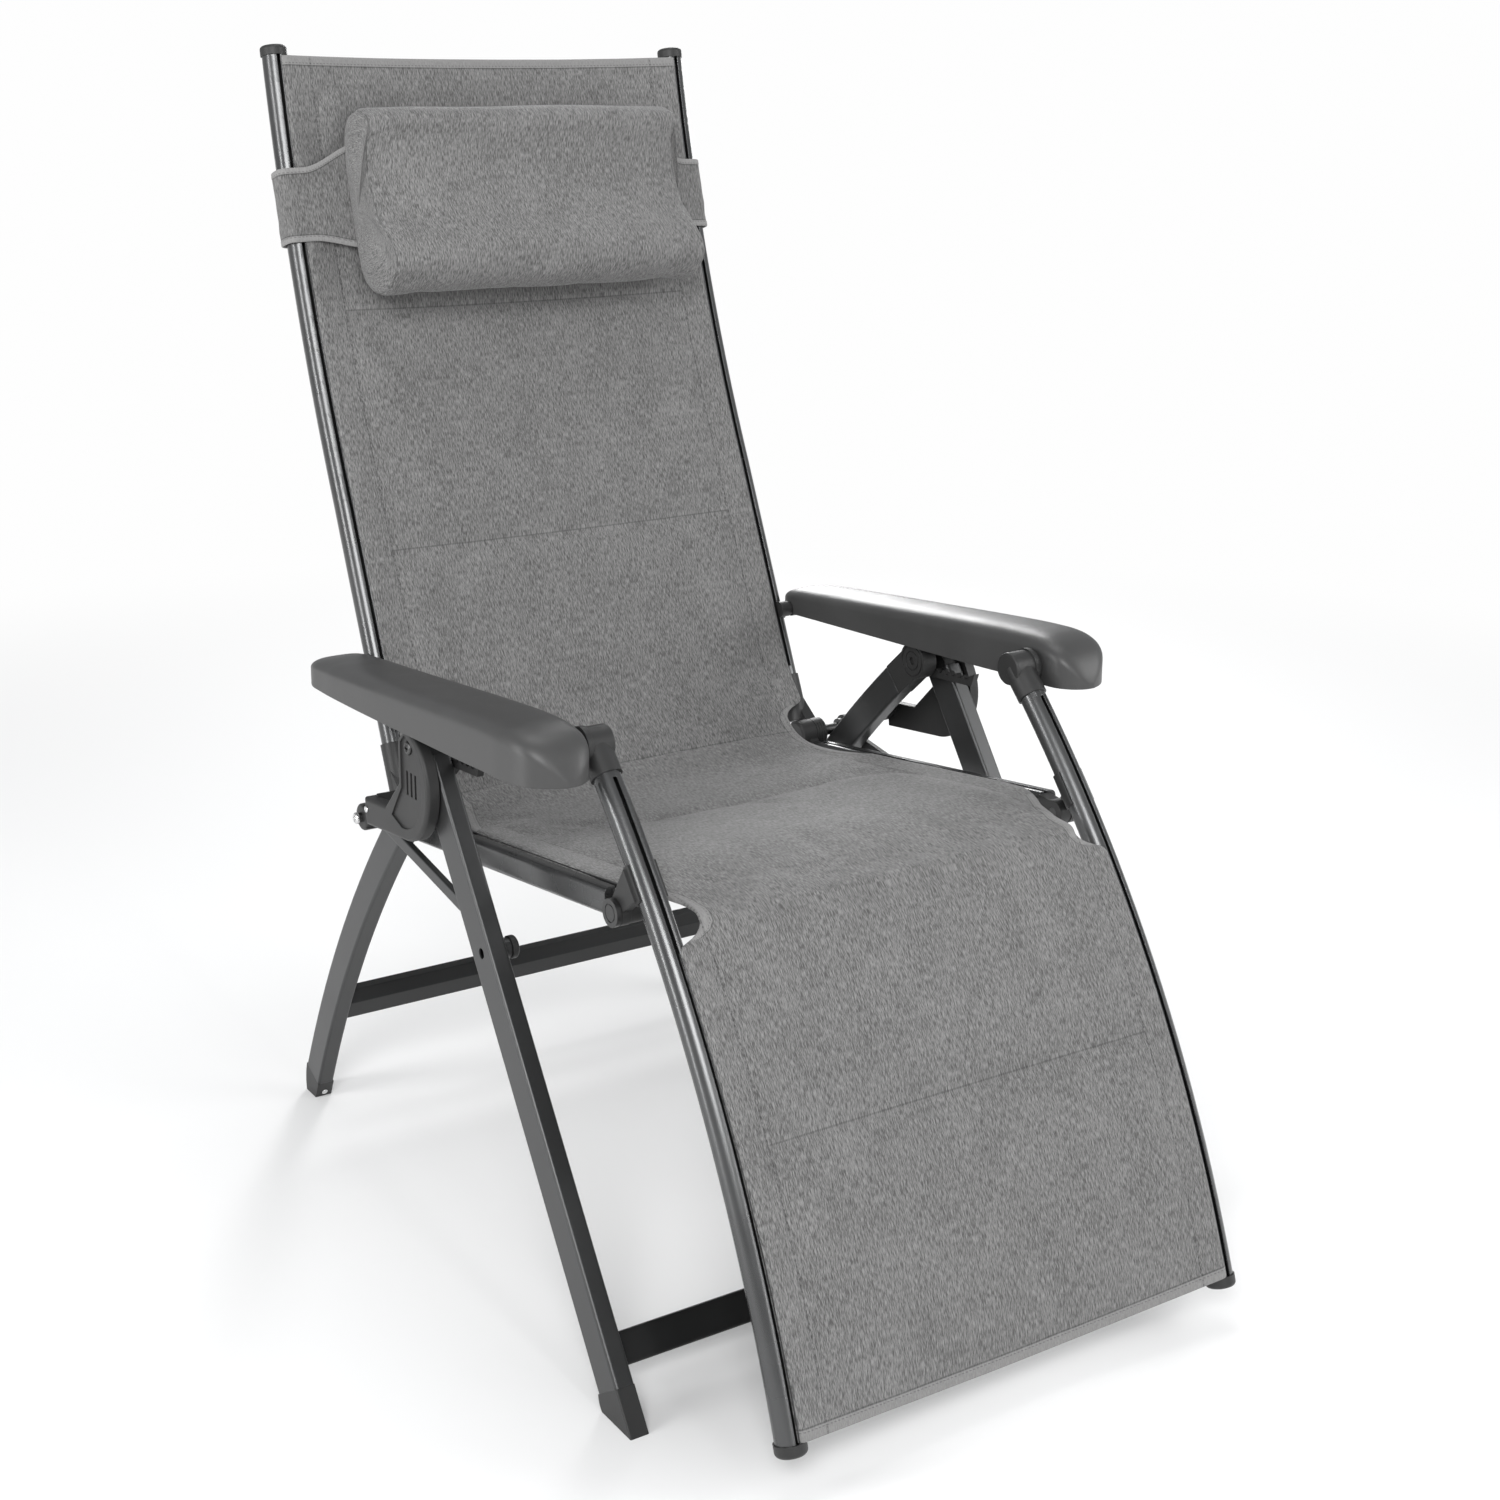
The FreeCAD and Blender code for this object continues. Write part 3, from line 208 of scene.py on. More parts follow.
def inflate(obj, pinned, pressure, cap, steps=20):
    """Cloth simulation: the closed piece swells between its pinned seams.
    No point moves further than cap from where it was drawn."""
    before = points_of(obj.data)
    group = obj.vertex_groups.new(name="pin")
    group.add([int(i) for i in pinned], 1.0, "REPLACE")
    mod = obj.modifiers.new("Cloth", "CLOTH")
    cloth = mod.settings
    cloth.quality = 5
    cloth.mass = 0.25
    cloth.tension_stiffness = 12
    cloth.compression_stiffness = 12
    cloth.shear_stiffness = 6
    cloth.bending_stiffness = 0.6
    cloth.shrink_min = -0.012
    cloth.use_pressure = True
    cloth.uniform_pressure_force = pressure
    cloth.vertex_group_mass = "pin"
    cloth.effector_weights.gravity = 0.0
    mod.collision_settings.use_collision = False
    mod.point_cache.frame_start = 1
    mod.point_cache.frame_end = steps
    scene = bpy.context.scene
    for f in range(1, steps + 1):
        scene.frame_set(f)
    graph = bpy.context.evaluated_depsgraph_get()
    after = points_of(obj.evaluated_get(graph).data)
    obj.modifiers.clear()
    obj.vertex_groups.clear()
    scene.frame_set(1)
    move = after - before
    length = np.linalg.norm(move, axis=1)
    limit = cap * np.tanh(length / cap) / np.maximum(length, 1e-9)
    set_points(obj.data, before + move * limit[:, None])
    return obj


# ------------------------------------------------------------------ the sling's side view
def back_front(offset):
    direction = np.array(BACK_ARC[0]) - np.array(BACK_LOW)
    direction /= np.linalg.norm(direction)
    side = np.array((-direction[1], direction[0])) * offset
    low = np.array(BACK_LOW) + direction * 0.042 + side
    top = arc_points(BACK_ARC, -offset, 60, 0.0, 0.985)
    return low, top


def legrest_front(offset, start, stop):
    long = arc_length(LEGREST_ARC)
    return arc_points(LEGREST_ARC, offset, 60, start / long, 1 - stop / long)


LEGREST_CLOTH_FROM = 0.172       # below the T-piece's axis, along the tube
OUT = TUBE_R + CLOTH_LIFT


def sling_line():
    """The line of the cloth's edge in side view, from the legrest's hem to the
    back's top, and where along it each zone begins."""
    hem_first = legrest_front(OUT, LEGREST_CLOTH_FROM, 0.006)[::-1]
    rail_a, rail_b = (np.array(p) for p in RAIL_LINE)
    along = (rail_b - rail_a) / np.linalg.norm(rail_b - rail_a)
    up = np.array((along[1], -along[0]))
    seat_front = rail_b - along * 0.020 + up * OUT
    seat_rear = rail_a + along * 0.078 + up * OUT
    crease = np.array((0.170, 0.4165))
    low, top = back_front(OUT)
    points = list(hem_first) + [seat_front, seat_rear, crease, low] + list(top)
    radii = [0.0] * len(points)
    bend = len(hem_first)
    radii[bend - 1] = 0.060
    radii[bend] = 0.050
    radii[bend + 1] = 0.045
    radii[bend + 2] = 0.016
    radii[bend + 3] = 0.045
    line = round_corners(points, radii, 0.001)

    def where(point):
        return float(np.argmin(np.linalg.norm(line - point, axis=1))) * 0.001

    stops = {"knee_front": where(hem_first[-1]), "seat_front": where(seat_front),
             "seat_rear": where(seat_rear), "crease": where(crease), "back_low": where(low),
             "end": (len(line) - 1) * 0.001}
    return line, stops


LINE, STOPS = sling_line()
LINE_STEP = 0.001


def at_height(z, low_v, high_v):
    """v of the point of the line at that height, between two v values."""
    a, b = int(low_v / LINE_STEP), int(high_v / LINE_STEP)
    return (a + int(np.argmin(abs(LINE[a:b, 1] - z)))) * LINE_STEP


def at_depth(y, low_v, high_v):
    a, b = int(low_v / LINE_STEP), int(high_v / LINE_STEP)
    return (a + int(np.argmin(abs(LINE[a:b, 0] - y)))) * LINE_STEP


SEAMS = [at_height(0.272, 0, STOPS["knee_front"]),
         at_depth(-0.252, STOPS["knee_front"] - 0.02, STOPS["seat_front"] + 0.05),
         at_depth(0.000, STOPS["seat_front"], STOPS["seat_rear"]),
         STOPS["crease"],
         at_height(0.652, STOPS["back_low"], STOPS["end"]),
         at_height(0.898, STOPS["back_low"], STOPS["end"])]


# the cut-outs at the knees and at the back's hinges: (distance along from the corner, depth)
KNEE_CUT = ((-0.029, 0.0), (-0.025, 0.012), (-0.019, 0.025), (-0.011, 0.030), (0.023, 0.030),
            (0.057, 0.021), (0.088, 0.005), (0.099, 0.0))
CREASE_CUT = ((-0.114, 0.0), (-0.088, 0.007), (-0.047, 0.022), (-0.026, 0.029), (0.020, 0.030),
              (0.028, 0.025), (0.034, 0.012), (0.038, 0.0))


def cut_depth(v, corner, cut):
    """Depth of one cut-out at v, from its list of (distance along, depth)."""
    p = np.array(cut)
    return np.interp(v - corner, p[:, 0], p[:, 1])


def cuts_at(v):
    """How far the cut-outs take the cloth's edge inwards at v."""
    return (cut_depth(v, STOPS["knee_front"], KNEE_CUT)
            + cut_depth(v, STOPS["crease"], CREASE_CUT))


def edge_at(v):
    """Half the cloth's width at v."""
    knee = smooth((v - STOPS["knee_front"]) / (STOPS["seat_front"] - STOPS["knee_front"]))
    edge = EDGE_LEGREST + (EDGE_SEAT - EDGE_LEGREST) * knee
    edge = edge + (EDGE_BACK - EDGE_SEAT) * smooth((v - STOPS["seat_rear"]) / 0.1)
    return edge - cuts_at(v)


def sag_at(v):
    """How far the middle of the cloth hangs below the line of its edges."""
    marks = [0.0, 0.10, STOPS["knee_front"], STOPS["seat_front"], SEAMS[2], STOPS["seat_rear"],
             STOPS["crease"], STOPS["back_low"], SEAMS[4], SEAMS[5], STOPS["end"]]
    sags = [0.019, 0.013, 0.005, 0.004, 0.013, 0.008, 0.002, 0.006, 0.011, 0.013, 0.019]
    return np.interp(v, marks, sags)


def row_positions():
    """v of each row: even steps, with close rows at the seams and hems."""
    fixed = {0.0, 0.0015, BINDING, STOPS["end"], STOPS["end"] - 0.0015, STOPS["end"] - BINDING}
    for s in SEAMS:
        fixed |= {s - SEAM_HALF, s, s + SEAM_HALF}
    fixed |= set(SPLITS)
    fixed |= {STOPS["knee_front"] + d for d, _ in KNEE_CUT}
    fixed |= {STOPS["crease"] + d for d, _ in CREASE_CUT}
    fixed = sorted(fixed)
    fixed = [v for i, v in enumerate(fixed) if i == 0 or v - fixed[i - 1] > 0.0009]
    rows = []
    for a, b in zip(fixed[:-1], fixed[1:]):
        count = max(1, round((b - a) / ROW_STEP))
        rows.extend(np.linspace(a, b, count, endpoint=False))
    return np.array(rows + [fixed[-1]])


# where one piece of the sling ends and the next begins
KNEE_LINE = STOPS["knee_front"] + 0.3 * (STOPS["seat_front"] - STOPS["knee_front"])
CREASE_LINE = STOPS["crease"] + 0.022
SPLITS = [STOPS["knee_front"] - 0.010, KNEE_LINE, STOPS["seat_front"] + 0.010,
          STOPS["seat_rear"] - 0.010, CREASE_LINE, STOPS["back_low"] + 0.012]


def columns():
    """Across the cloth: share of the way, inside and outside the side seams."""
    inner = np.linspace(-1, 1, 51)
    close = SEAM_HALF / SIDE_SEAM
    inner = np.sort(np.concatenate([inner[1:-1], [-1, -1 + close, 1 - close, 1]]))
    outer = np.array([0.15, 0.40, 0.62, 0.80, 0.93, 1.0])
    return inner, outer


def cloth_sheet():
    """The whole sling as one closed mesh of two skins, before it is padded."""
    rows = row_positions()
    inner, outer = columns()
    edge = edge_at(rows)
    left = [-(SIDE_SEAM + (edge - SIDE_SEAM) * s) for s in outer[::-1]]
    right = [SIDE_SEAM + (edge - SIDE_SEAM) * s for s in outer]
    middle = [np.full(len(rows), SIDE_SEAM * s) for s in inner]
    x = np.stack(left + middle + right, 1)
    v = np.repeat(rows[:, None], x.shape[1], 1)
    base_y = np.interp(rows, np.arange(len(LINE)) * LINE_STEP, LINE[:, 0])
    base_z = np.interp(rows, np.arange(len(LINE)) * LINE_STEP, LINE[:, 1])
    along = np.arange(len(LINE)) * LINE_STEP
    ahead = np.stack([np.interp(rows + 0.004, along, LINE[:, k])
                      - np.interp(rows - 0.004, along, LINE[:, k]) for k in (0, 1)], 1)
    ahead /= np.linalg.norm(ahead, axis=1)[:, None]
    normal = np.stack([-ahead[:, 1], ahead[:, 0]], 1)
    half = edge[:, None]
    share = np.clip(abs(x) / half, 0, 1)
    held = smooth((abs(x) - (half - 0.0035)) / 0.0035)
    free = smooth(cuts_at(rows) / 0.004)[:, None]
    sink = sag_at(rows)[:, None] * (1 - share ** 2.2)
    sink = sink + KEDER_DIP * held * (1 - free) + 0.0035 * free * share ** 6
    bow = 0.009 * (1 - share ** 2) * np.exp(-((v / 0.05) ** 2))
    # slight unevenness of stretched cloth
    sink = sink + 0.0006 * noise_of(3, x * 5, v * 4) + 0.0004 * noise_of(5, x * 14, v * 9)
    inside = smooth((SIDE_SEAM - abs(x)) / 0.02)
    thick = EDGE_THICK + 0.0012 * inside
    y = base_y[:, None] - normal[:, :1] * sink - ahead[:, :1] * bow
    z = base_z[:, None] - normal[:, 1:] * sink - ahead[:, 1:] * bow
    to_edge = np.minimum(v, STOPS["end"] - v)
    end_round = np.sqrt(np.clip(to_edge / 0.0015, 0.0, 1.0))
    side_round = np.sqrt(np.clip((half - abs(x)) / 0.0012, 0.0, 1.0))
    binding = (to_edge < BINDING * 1.01) | ((free > 0.3) & (half - abs(x) < 0.0078))
    lip = np.where(binding, 0.0007, 0.0)
    half_thick = (thick / 2 + lip) * (0.35 + 0.65 * end_round * side_round)
    top = np.stack([x, y + normal[:, :1] * half_thick, z + normal[:, 1:] * half_thick], 2)
    low = np.stack([x, y - normal[:, :1] * half_thick, z - normal[:, 1:] * half_thick], 2)
    n, m = x.shape
    index = np.arange(n * m).reshape(n, m)
    under = index + n * m
    faces = []
    for i in range(n - 1):
        for j in range(m - 1):
            faces.append((index[i, j], index[i + 1, j], index[i + 1, j + 1], index[i, j + 1]))
            faces.append((under[i, j], under[i, j + 1], under[i + 1, j + 1], under[i + 1, j]))
    for i in range(n - 1):
        faces.append((index[i, 0], under[i, 0], under[i + 1, 0], index[i + 1, 0]))
        faces.append((index[i, -1], index[i + 1, -1], under[i + 1, -1], under[i, -1]))
    for j in range(m - 1):
        faces.append((index[0, j], index[0, j + 1], under[0, j + 1], under[0, j]))
        faces.append((index[-1, j], under[-1, j], under[-1, j + 1], index[-1, j + 1]))
    seam = np.min([abs(v - s) for s in SEAMS], axis=0)
    cut = cuts_at(rows)[:, None]
    bound = np.minimum(to_edge, np.where(cut > 0.0, half - abs(x) + 0.012 * (1 - free), 1.0))
    # fab_seam: distance to a seam that gets painted crease shade; the seat's two seams get it fainter and the
    # outer strips get none
    shown = np.min([abs(v - SEAMS[k]) for k in (0, 3, 4, 5)], axis=0)
    faint = np.min([abs(v - SEAMS[k]) for k in (1, 2)], axis=0)
    drawn = np.minimum(shown, faint + 0.0007) + np.where(abs(x) > SIDE_SEAM, 0.01, 0.0)
    keys = {"fab_u": x, "fab_v": v, "fab_seam": drawn, "fab_edge": bound}
    attributes = {k: np.concatenate([a.ravel(), a.ravel()]) for k, a in keys.items()}
    obj = make_mesh("sling_all", np.concatenate([top.reshape(-1, 3), low.reshape(-1, 3)]), faces, attributes)
    grid = {"x": x, "v": v, "normal": normal, "seam": seam}
    return obj, grid


def pad_sling(obj, grid):
    """Swells the sling between its seams."""
    x, v, seam = grid["x"], grid["v"], grid["seam"]
    side = SIDE_SEAM - abs(x)
    hem = np.minimum(v, STOPS["end"] - v) - BINDING
    pinned = (side < 1e-6) | (seam < 1e-6) | (hem < 1e-6)
    flat = pinned.ravel()
    inflate(obj, np.flatnonzero(np.concatenate([flat, flat])), SLING_PRESSURE, PUFF_CAP)
    return subdivide(obj)


SLING_PRESSURE = 2.2


def cut_out(source, name, low_v, high_v, normals):
    """The part of the sling between two v values, with the whole sling's shading."""
    mesh = source.data
    v = values_of(mesh, "fab_v")
    faces = [tuple(p.vertices) for p in mesh.polygons]
    middle = np.array([v[list(f)].mean() for f in faces])
    chosen = [faces[i] for i in np.flatnonzero((middle >= low_v) & (middle < high_v))]
    used = np.unique(np.concatenate([np.array(f) for f in chosen]))
    place = np.full(len(v), -1)
    place[used] = np.arange(len(used))
    attributes = {k: values_of(mesh, k)[used] for k in ("fab_u", "fab_v", "fab_seam", "fab_edge")}
    piece = make_mesh(name, points_of(mesh)[used], [[place[i] for i in f] for f in chosen], attributes)
    piece.data.normals_split_custom_set_from_vertices([tuple(n) for n in normals[used]])
    return piece


def build_sling(material):
    whole, grid = cloth_sheet()
    pad_sling(whole, grid)
    normals = np.zeros(len(whole.data.vertices) * 3, np.float32)
    whole.data.vertices.foreach_get("normal", normals)
    normals = normals.reshape(-1, 3)
    cuts = [-1.0] + SPLITS + [10.0]
    names = ["legrest_cloth", "knee_cloth_front", "knee_cloth_rear", "seat_cloth",
             "crease_cloth_front", "crease_cloth_rear", "back_cloth"]
    pieces = {}
    for name, a, b in zip(names, cuts[:-1], cuts[1:]):
        piece = cut_out(whole, name, a, b, normals)
        piece.data.materials.append(material)
        pieces[name] = piece
    bpy.data.objects.remove(whole)
    for name, body in (("legrest_cloth", "legrest"), ("seat_cloth", "seat"), ("back_cloth", "back")):
        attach(pieces[name], body)
    for name, body_a, body_b, k in (("knee_cloth_front", "legrest", "knee_pin", 0),
                                    ("knee_cloth_rear", "knee_pin", "seat", 1),
                                    ("crease_cloth_front", "seat", "back_bush", 3),
                                    ("crease_cloth_rear", "back_bush", "back", 4)):
        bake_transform(pieces[name])
    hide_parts("legrest_sling")
    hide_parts("seat_sling")
    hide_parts("back_sling")
    return pieces


# ------------------------------------------------------------------ head pillow and its strap
PILLOW_MID = np.array((0.455, 1.010))
PILLOW_UP = np.array((0.2668, 0.9638))
PILLOW_FORWARD = np.array((-0.9638, 0.2668))
PILLOW_HALF = 0.1925
PILLOW_SHIFT = 0.0035             # it sits this far off the middle
PILLOW_PRESSURE = 2.5

# the pillow's end panel: distance up along the tubes, distance forward of their axis
PILLOW_OUTLINE = ((-72, 17), (-98, 26), (-112, 54), (-108, 88), (-90, 107), (-66, 99), (-36, 76),
                  (9, 64), (43, 69), (66, 83), (81, 69), (86, 46), (76, 25), (36, 16), (-20, 16))
PILLOW_SWELL = 0.017             # the middle stands this much further forward than the ends


def on_back(along, forward):
    return PILLOW_MID + PILLOW_UP * along + PILLOW_FORWARD * forward


def closed_curve(points, count):
    """Even points on a smooth closed curve through the given ones."""
    p = np.array(points, float)
    dense = []
    for i in range(len(p)):
        a, b, c, d = p[i - 1], p[i], p[(i + 1) % len(p)], p[(i + 2) % len(p)]
        for t in np.linspace(0, 1, 16, endpoint=False):
            dense.append(0.5 * (2 * b + (c - a) * t + (2 * a - 5 * b + 4 * c - d) * t ** 2
                                + (3 * b - a - 3 * c + d) * t ** 3))
    dense = np.array(dense + [dense[0]])
    run = np.concatenate([[0], np.cumsum(np.linalg.norm(np.diff(dense, axis=0), axis=1))])
    even = np.linspace(0, run[-1], count, endpoint=False)
    return np.stack([np.interp(even, run, dense[:, 0]), np.interp(even, run, dense[:, 1])], 1), run[-1]


def build_pillow(material):
    count = 84
    section, around = closed_curve([(a / 1000, f / 1000) for a, f in PILLOW_OUTLINE], count)
    centre = section.mean(0)
    piping = 0.0035
    xs = np.linspace(-PILLOW_HALF, PILLOW_HALF, 47)
    rows = [(x, 1.0) for x in xs]
    rows[0:1] = [(-PILLOW_HALF + 0.0015, 0.985), (-PILLOW_HALF + piping, 1.0)]
    rows[-1:] = [(PILLOW_HALF - piping, 1.0), (PILLOW_HALF - 0.0015, 0.985)]
    ends = (0.955, 0.88, 0.74, 0.55, 0.34, 0.15)
    rings = []
    for s in reversed(ends):
        rings.append((-PILLOW_HALF, s))
    rings += rows
    for s in ends:
        rings.append((PILLOW_HALF, s))
    verts, u, v, seam, edge = [], [], [], [], []
    for x, s in rings:
        at_end = s < 0.97
        dome = 0.010 * (1 - s ** 2.5) if at_end else 0.0
        for k in range(count):
            a, f = centre + (section[k] - centre) * s
            full = (1 - (abs(x) / PILLOW_HALF) ** 3) ** 0.8
            fore = float(smooth((f - 0.03) / 0.05))
            f += PILLOW_SWELL * full * fore * (0.55 + 0.45 * math.cos((a - 0.005) * 22))
            run = k / count * around
            # shallow gathers next to the end seams
            near = math.exp(-((PILLOW_HALF - abs(x)) / 0.030) ** 2) * (0 if at_end else 1)
            gather = 0.0011 * near * math.sin(run * 2 * math.pi / 0.021 + 2 * math.sin(run * 31))
            soft = 0.0016 * float(noise_of(11, x * 7, run * 5))
            grow = 1 + (gather + (0 if at_end else soft)) / 0.09
            a, f = centre + (np.array((a, f)) - centre) * grow
            y, z = on_back(a, f)
            verts.append((x + math.copysign(dome, x) + PILLOW_SHIFT, y, z))
            u.append(x + (math.copysign(0.09 * (1 - s), x) if at_end else 0))
            v.append(run)
            # seam: distance to the end seams; it pins the cloth and sets the painted crease shade there
            seam.append(abs(abs(x) - PILLOW_HALF + 0.0015) if not at_end else (1 - s) * 0.08)
            edge.append(1.0)
    faces = []
    for i in range(len(rings) - 1):
        for k in range(count):
            n = (k + 1) % count
            faces.append((i * count + k, i * count + n, (i + 1) * count + n, (i + 1) * count + k))
    last = (len(rings) - 1) * count
    faces.append([k for k in reversed(range(count))])
    faces.append([last + k for k in range(count)])
    keys = {"fab_u": u, "fab_v": v, "fab_seam": seam, "fab_edge": edge}
    obj = make_mesh("pillow_cushion", verts, faces, keys)
    pinned = [i for i, s in enumerate(seam) if s < 0.0003]
    rests = [i for i in range(len(verts)) if (i % count) >= count - 12 or (i % count) < 3]
    inflate(obj, sorted(set(pinned) | set(rests)), PILLOW_PRESSURE, 0.003)
    subdivide(obj)
    obj.data.materials.append(material)
    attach(obj, "pillow")
    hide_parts("head_pillow")
    return obj


STRAP_THICK = 0.0018


def build_strap(material):
    """One band: from the pillow's end, outside and behind the tubes, to its other end."""
    r = 0.0158
    corners = [(0.181, 0.030), (0.215, 0.023), (BACK_X - 0.004, r), (BACK_X + r, r * 0.9),
               (BACK_X + r, -r * 0.95), (BACK_X - 0.006, -r - 0.0035), (0.14, -r - 0.010)]
    half_path = round_corners([(x, f) for x, f in corners] + [(0.0, -r - 0.014)],
                              [0, 0.02, 0.012, 0.011, 0.011, 0.012, 0.1], 0.004)
    path = np.concatenate([half_path, np.stack([-half_path[::-1][1:, 0], half_path[::-1][1:, 1]], 1)])
    run = np.concatenate([[0], np.cumsum(np.linalg.norm(np.diff(path, axis=0), axis=1))])
    tangent = np.gradient(path, axis=0)
    tangent /= np.linalg.norm(tangent, axis=1)[:, None]
    out = np.stack([tangent[:, 1], -tangent[:, 0]], 1)
    across = np.array([0, 0.012, 0.04, 0.07, 0.08, 0.2, 0.35, 0.5, 0.65, 0.8, 0.92, 0.93, 0.96, 0.988, 1.0])
    verts, u, v, edge = [], [], [], []
    for skin in (1, -1):
        for i, (x, f) in enumerate(path):
            front = smooth((BACK_X - 0.010 - abs(x)) / 0.060) * (1 if f > 0 else 0)
            low = -0.045 - 0.012 * front
            high = 0.035 + 0.022 * front
            for c in across:
                a = low + (high - low) * c
                bend = 0.0016 * math.sin(c * math.pi * 2) * float(noise_of(21, x * 9, c * 3))
                lip = 0.0005 if min(c, 1 - c) < 0.075 else 0.0
                round_off = math.sqrt(min(1.0, min(c, 1 - c) / 0.012))
                half = (STRAP_THICK / 2 + lip) * (0.4 + 0.6 * round_off)
                shift = out[i] * (half * skin + bend)
                y, z = on_back(a, f + shift[1])
                verts.append((x + shift[0], y, z))
                u.append(run[i])
                v.append(a)
                edge.append(min(c, 1 - c) * (high - low))
    n, m = len(path), len(across)
    faces = []
    for i in range(n - 1):
        for j in range(m - 1):
            a, b = i * m + j, (i + 1) * m + j
            faces.append((a, b, b + 1, a + 1))
            a, b = a + n * m, b + n * m
            faces.append((a, a + 1, b + 1, b))
        for j, flip in ((0, False), (m - 1, True)):
            a, b = i * m + j, (i + 1) * m + j
            ring = (a, a + n * m, b + n * m, b)
            faces.append(ring[::-1] if flip else ring)
    for i, flip in ((0, False), (n - 1, True)):
        for j in range(m - 1):
            a = i * m + j
            ring = (a, a + 1, a + 1 + n * m, a + n * m)
            faces.append(ring[::-1] if flip else ring)
    keys = {"fab_u": u, "fab_v": v, "fab_seam": [1.0] * len(verts), "fab_edge": edge}
    obj = make_mesh("pillow_band", verts, faces, keys)
    obj.data.materials.append(material)
    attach(obj, "pillow")
    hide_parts("pillow_strap")
    return obj

# ------------------------------------------------------------------ armrests
ARM_WALL = 0.0034
# side view of the crown and the lower edge, (y, z) in mm from the rear end to the nose
ARM_CROWN = ((276, 548), (273, 553), (264, 558), (240, 561.5), (150, 570), (60, 578.5), (-40, 588),
             (-120, 595), (-155, 597), (-180, 596.5), (-200, 592), (-213, 584), (-221, 573), (-226, 562),
             (-228, 554))
ARM_LOW = ((276, 531), (-100, 546), (-150, 549), (-228, 549.5))
# plan view of the two sides, (y, x) in mm
ARM_PLAN_OUT = ((276, 314), (273, 322), (265, 329), (248, 334), (200, 337), (120, 338.5), (-170, 338.5),
                (-193, 335.5), (-208, 329), (-219, 318), (-225, 308), (-228, 299))
ARM_PLAN_IN = ((276, 284), (273, 274), (265, 267), (250, 265), (-196, 265), (-210, 268), (-220, 276),
               (-226, 285), (-228, 294))
ARM_WALL_SHARE = 0.66            # height of the upright side walls, as a share of the whole


def curve_at(points, y):
    p = np.array(sorted(points), float) / 1000
    return np.interp(y, p[:, 0], p[:, 1])


def smooth_rows(values, rounds=2):
    """Takes the corners off a sampled curve and keeps its ends."""
    out = np.array(values, float)
    for _ in range(rounds):
        out[1:-1] = (out[:-2] + 2 * out[1:-1] + out[2:]) / 4
    return out


def arm_stations():
    """y of each cross-section, closer together at the ends."""
    rear, nose = 0.276, -0.228
    ends = 0.075 * (1 - np.cos(np.linspace(0, math.pi / 2, 22)))
    middle = np.linspace(rear - 0.075, nose + 0.075, 26)[1:-1]
    return np.concatenate([rear - ends, middle, (nose + ends)[::-1]])


def build_armrest(name, side, material):
    """Domed shell, open below, with a rounded drooping nose and two bosses inside."""
    ys = arm_stations()
    crown = smooth_rows(curve_at(ARM_CROWN, ys))
    low = smooth_rows(curve_at(ARM_LOW, ys))
    outer = smooth_rows(curve_at(ARM_PLAN_OUT, ys))
    inner = smooth_rows(curve_at(ARM_PLAN_IN, ys))
    verts = []
    for y, top, base, x_out, x_in in zip(ys, crown, low, outer, inner):
        wall = (top - base) * ARM_WALL_SHARE
        width = x_out - x_in
        for t in np.linspace(0, 1, 5)[:-1]:
            verts.append((side * x_in, y, base + wall * t))
        for angle in np.linspace(0, math.pi, 27):
            across = -math.copysign(abs(math.cos(angle)) ** 0.62, math.cos(angle))
            rise = math.sin(angle) ** 0.92
            x = side * (x_in + width * (across + 1) / 2)
            verts.append((x, y, base + wall + (top - base - wall) * rise))
        for t in np.linspace(1, 0, 5)[1:]:
            verts.append((side * x_out, y, base + wall * t))
    m = len(verts) // len(ys)
    faces = []
    for i in range(len(ys) - 1):
        for j in range(m - 1):
            faces.append((i * m + j, i * m + j + 1, (i + 1) * m + j + 1, (i + 1) * m + j))
    last = (len(ys) - 1) * m
    faces.append([j for j in reversed(range(m))])
    faces.append([last + j for j in range(m)])
    if side < 0:
        faces = [f[::-1] for f in faces]
    obj = make_mesh(name, verts, faces)

    def shell(o):
        mod = o.modifiers.new("Shell", "SOLIDIFY")
        mod.thickness = ARM_WALL
        mod.offset = -1.0
    baked(obj, shell)
    obj.data.shade_smooth()
    obj.data.set_sharp_from_angle(angle=math.radians(48))
    obj.data.materials.clear()
    obj.data.materials.append(material)
    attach(obj, "armrests")
    for spot, joint in (("rear", "arm_fold"), ("front", None)):
        y, z = JOINT_AT[joint] if joint else LEGREST_ARC[0]
        boss = tube_piece(f"{name}_{spot}_boss", y, z, side * 0.2670, side * 0.2830, 0.0095, 0.0056)
        boss.data.materials.append(material)
        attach(boss, "armrests")
    return obj


def tube_piece(name, y, z, x0, x1, radius, bore):
    """A short tube along X."""
    count = 40
    verts, faces = [], []
    for x, r in ((x0, radius), (x1, radius), (x1, bore), (x0, bore)):
        for k in range(count):
            angle = 2 * math.pi * k / count
            verts.append((x, y + r * math.cos(angle), z + r * math.sin(angle)))
    for ring in range(4):
        for k in range(count):
            n = (k + 1) % count
            nxt = (ring + 1) % 4
            face = (ring * count + k, ring * count + n, nxt * count + n, nxt * count + k)
            faces.append(face if x1 < x0 else face[::-1])
    obj = make_mesh(name, verts, faces)
    obj.data.set_sharp_from_angle(angle=math.radians(35))
    return obj


def build_armrests():
    for name, node in (("arm_shell_left", "armrest_left"), ("arm_shell_right", "armrest_right")):
        low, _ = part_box(node)
        shell = build_armrest(name, 1 if low.x > 0 else -1, MATERIALS["arm_plastic"])
        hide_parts(node)


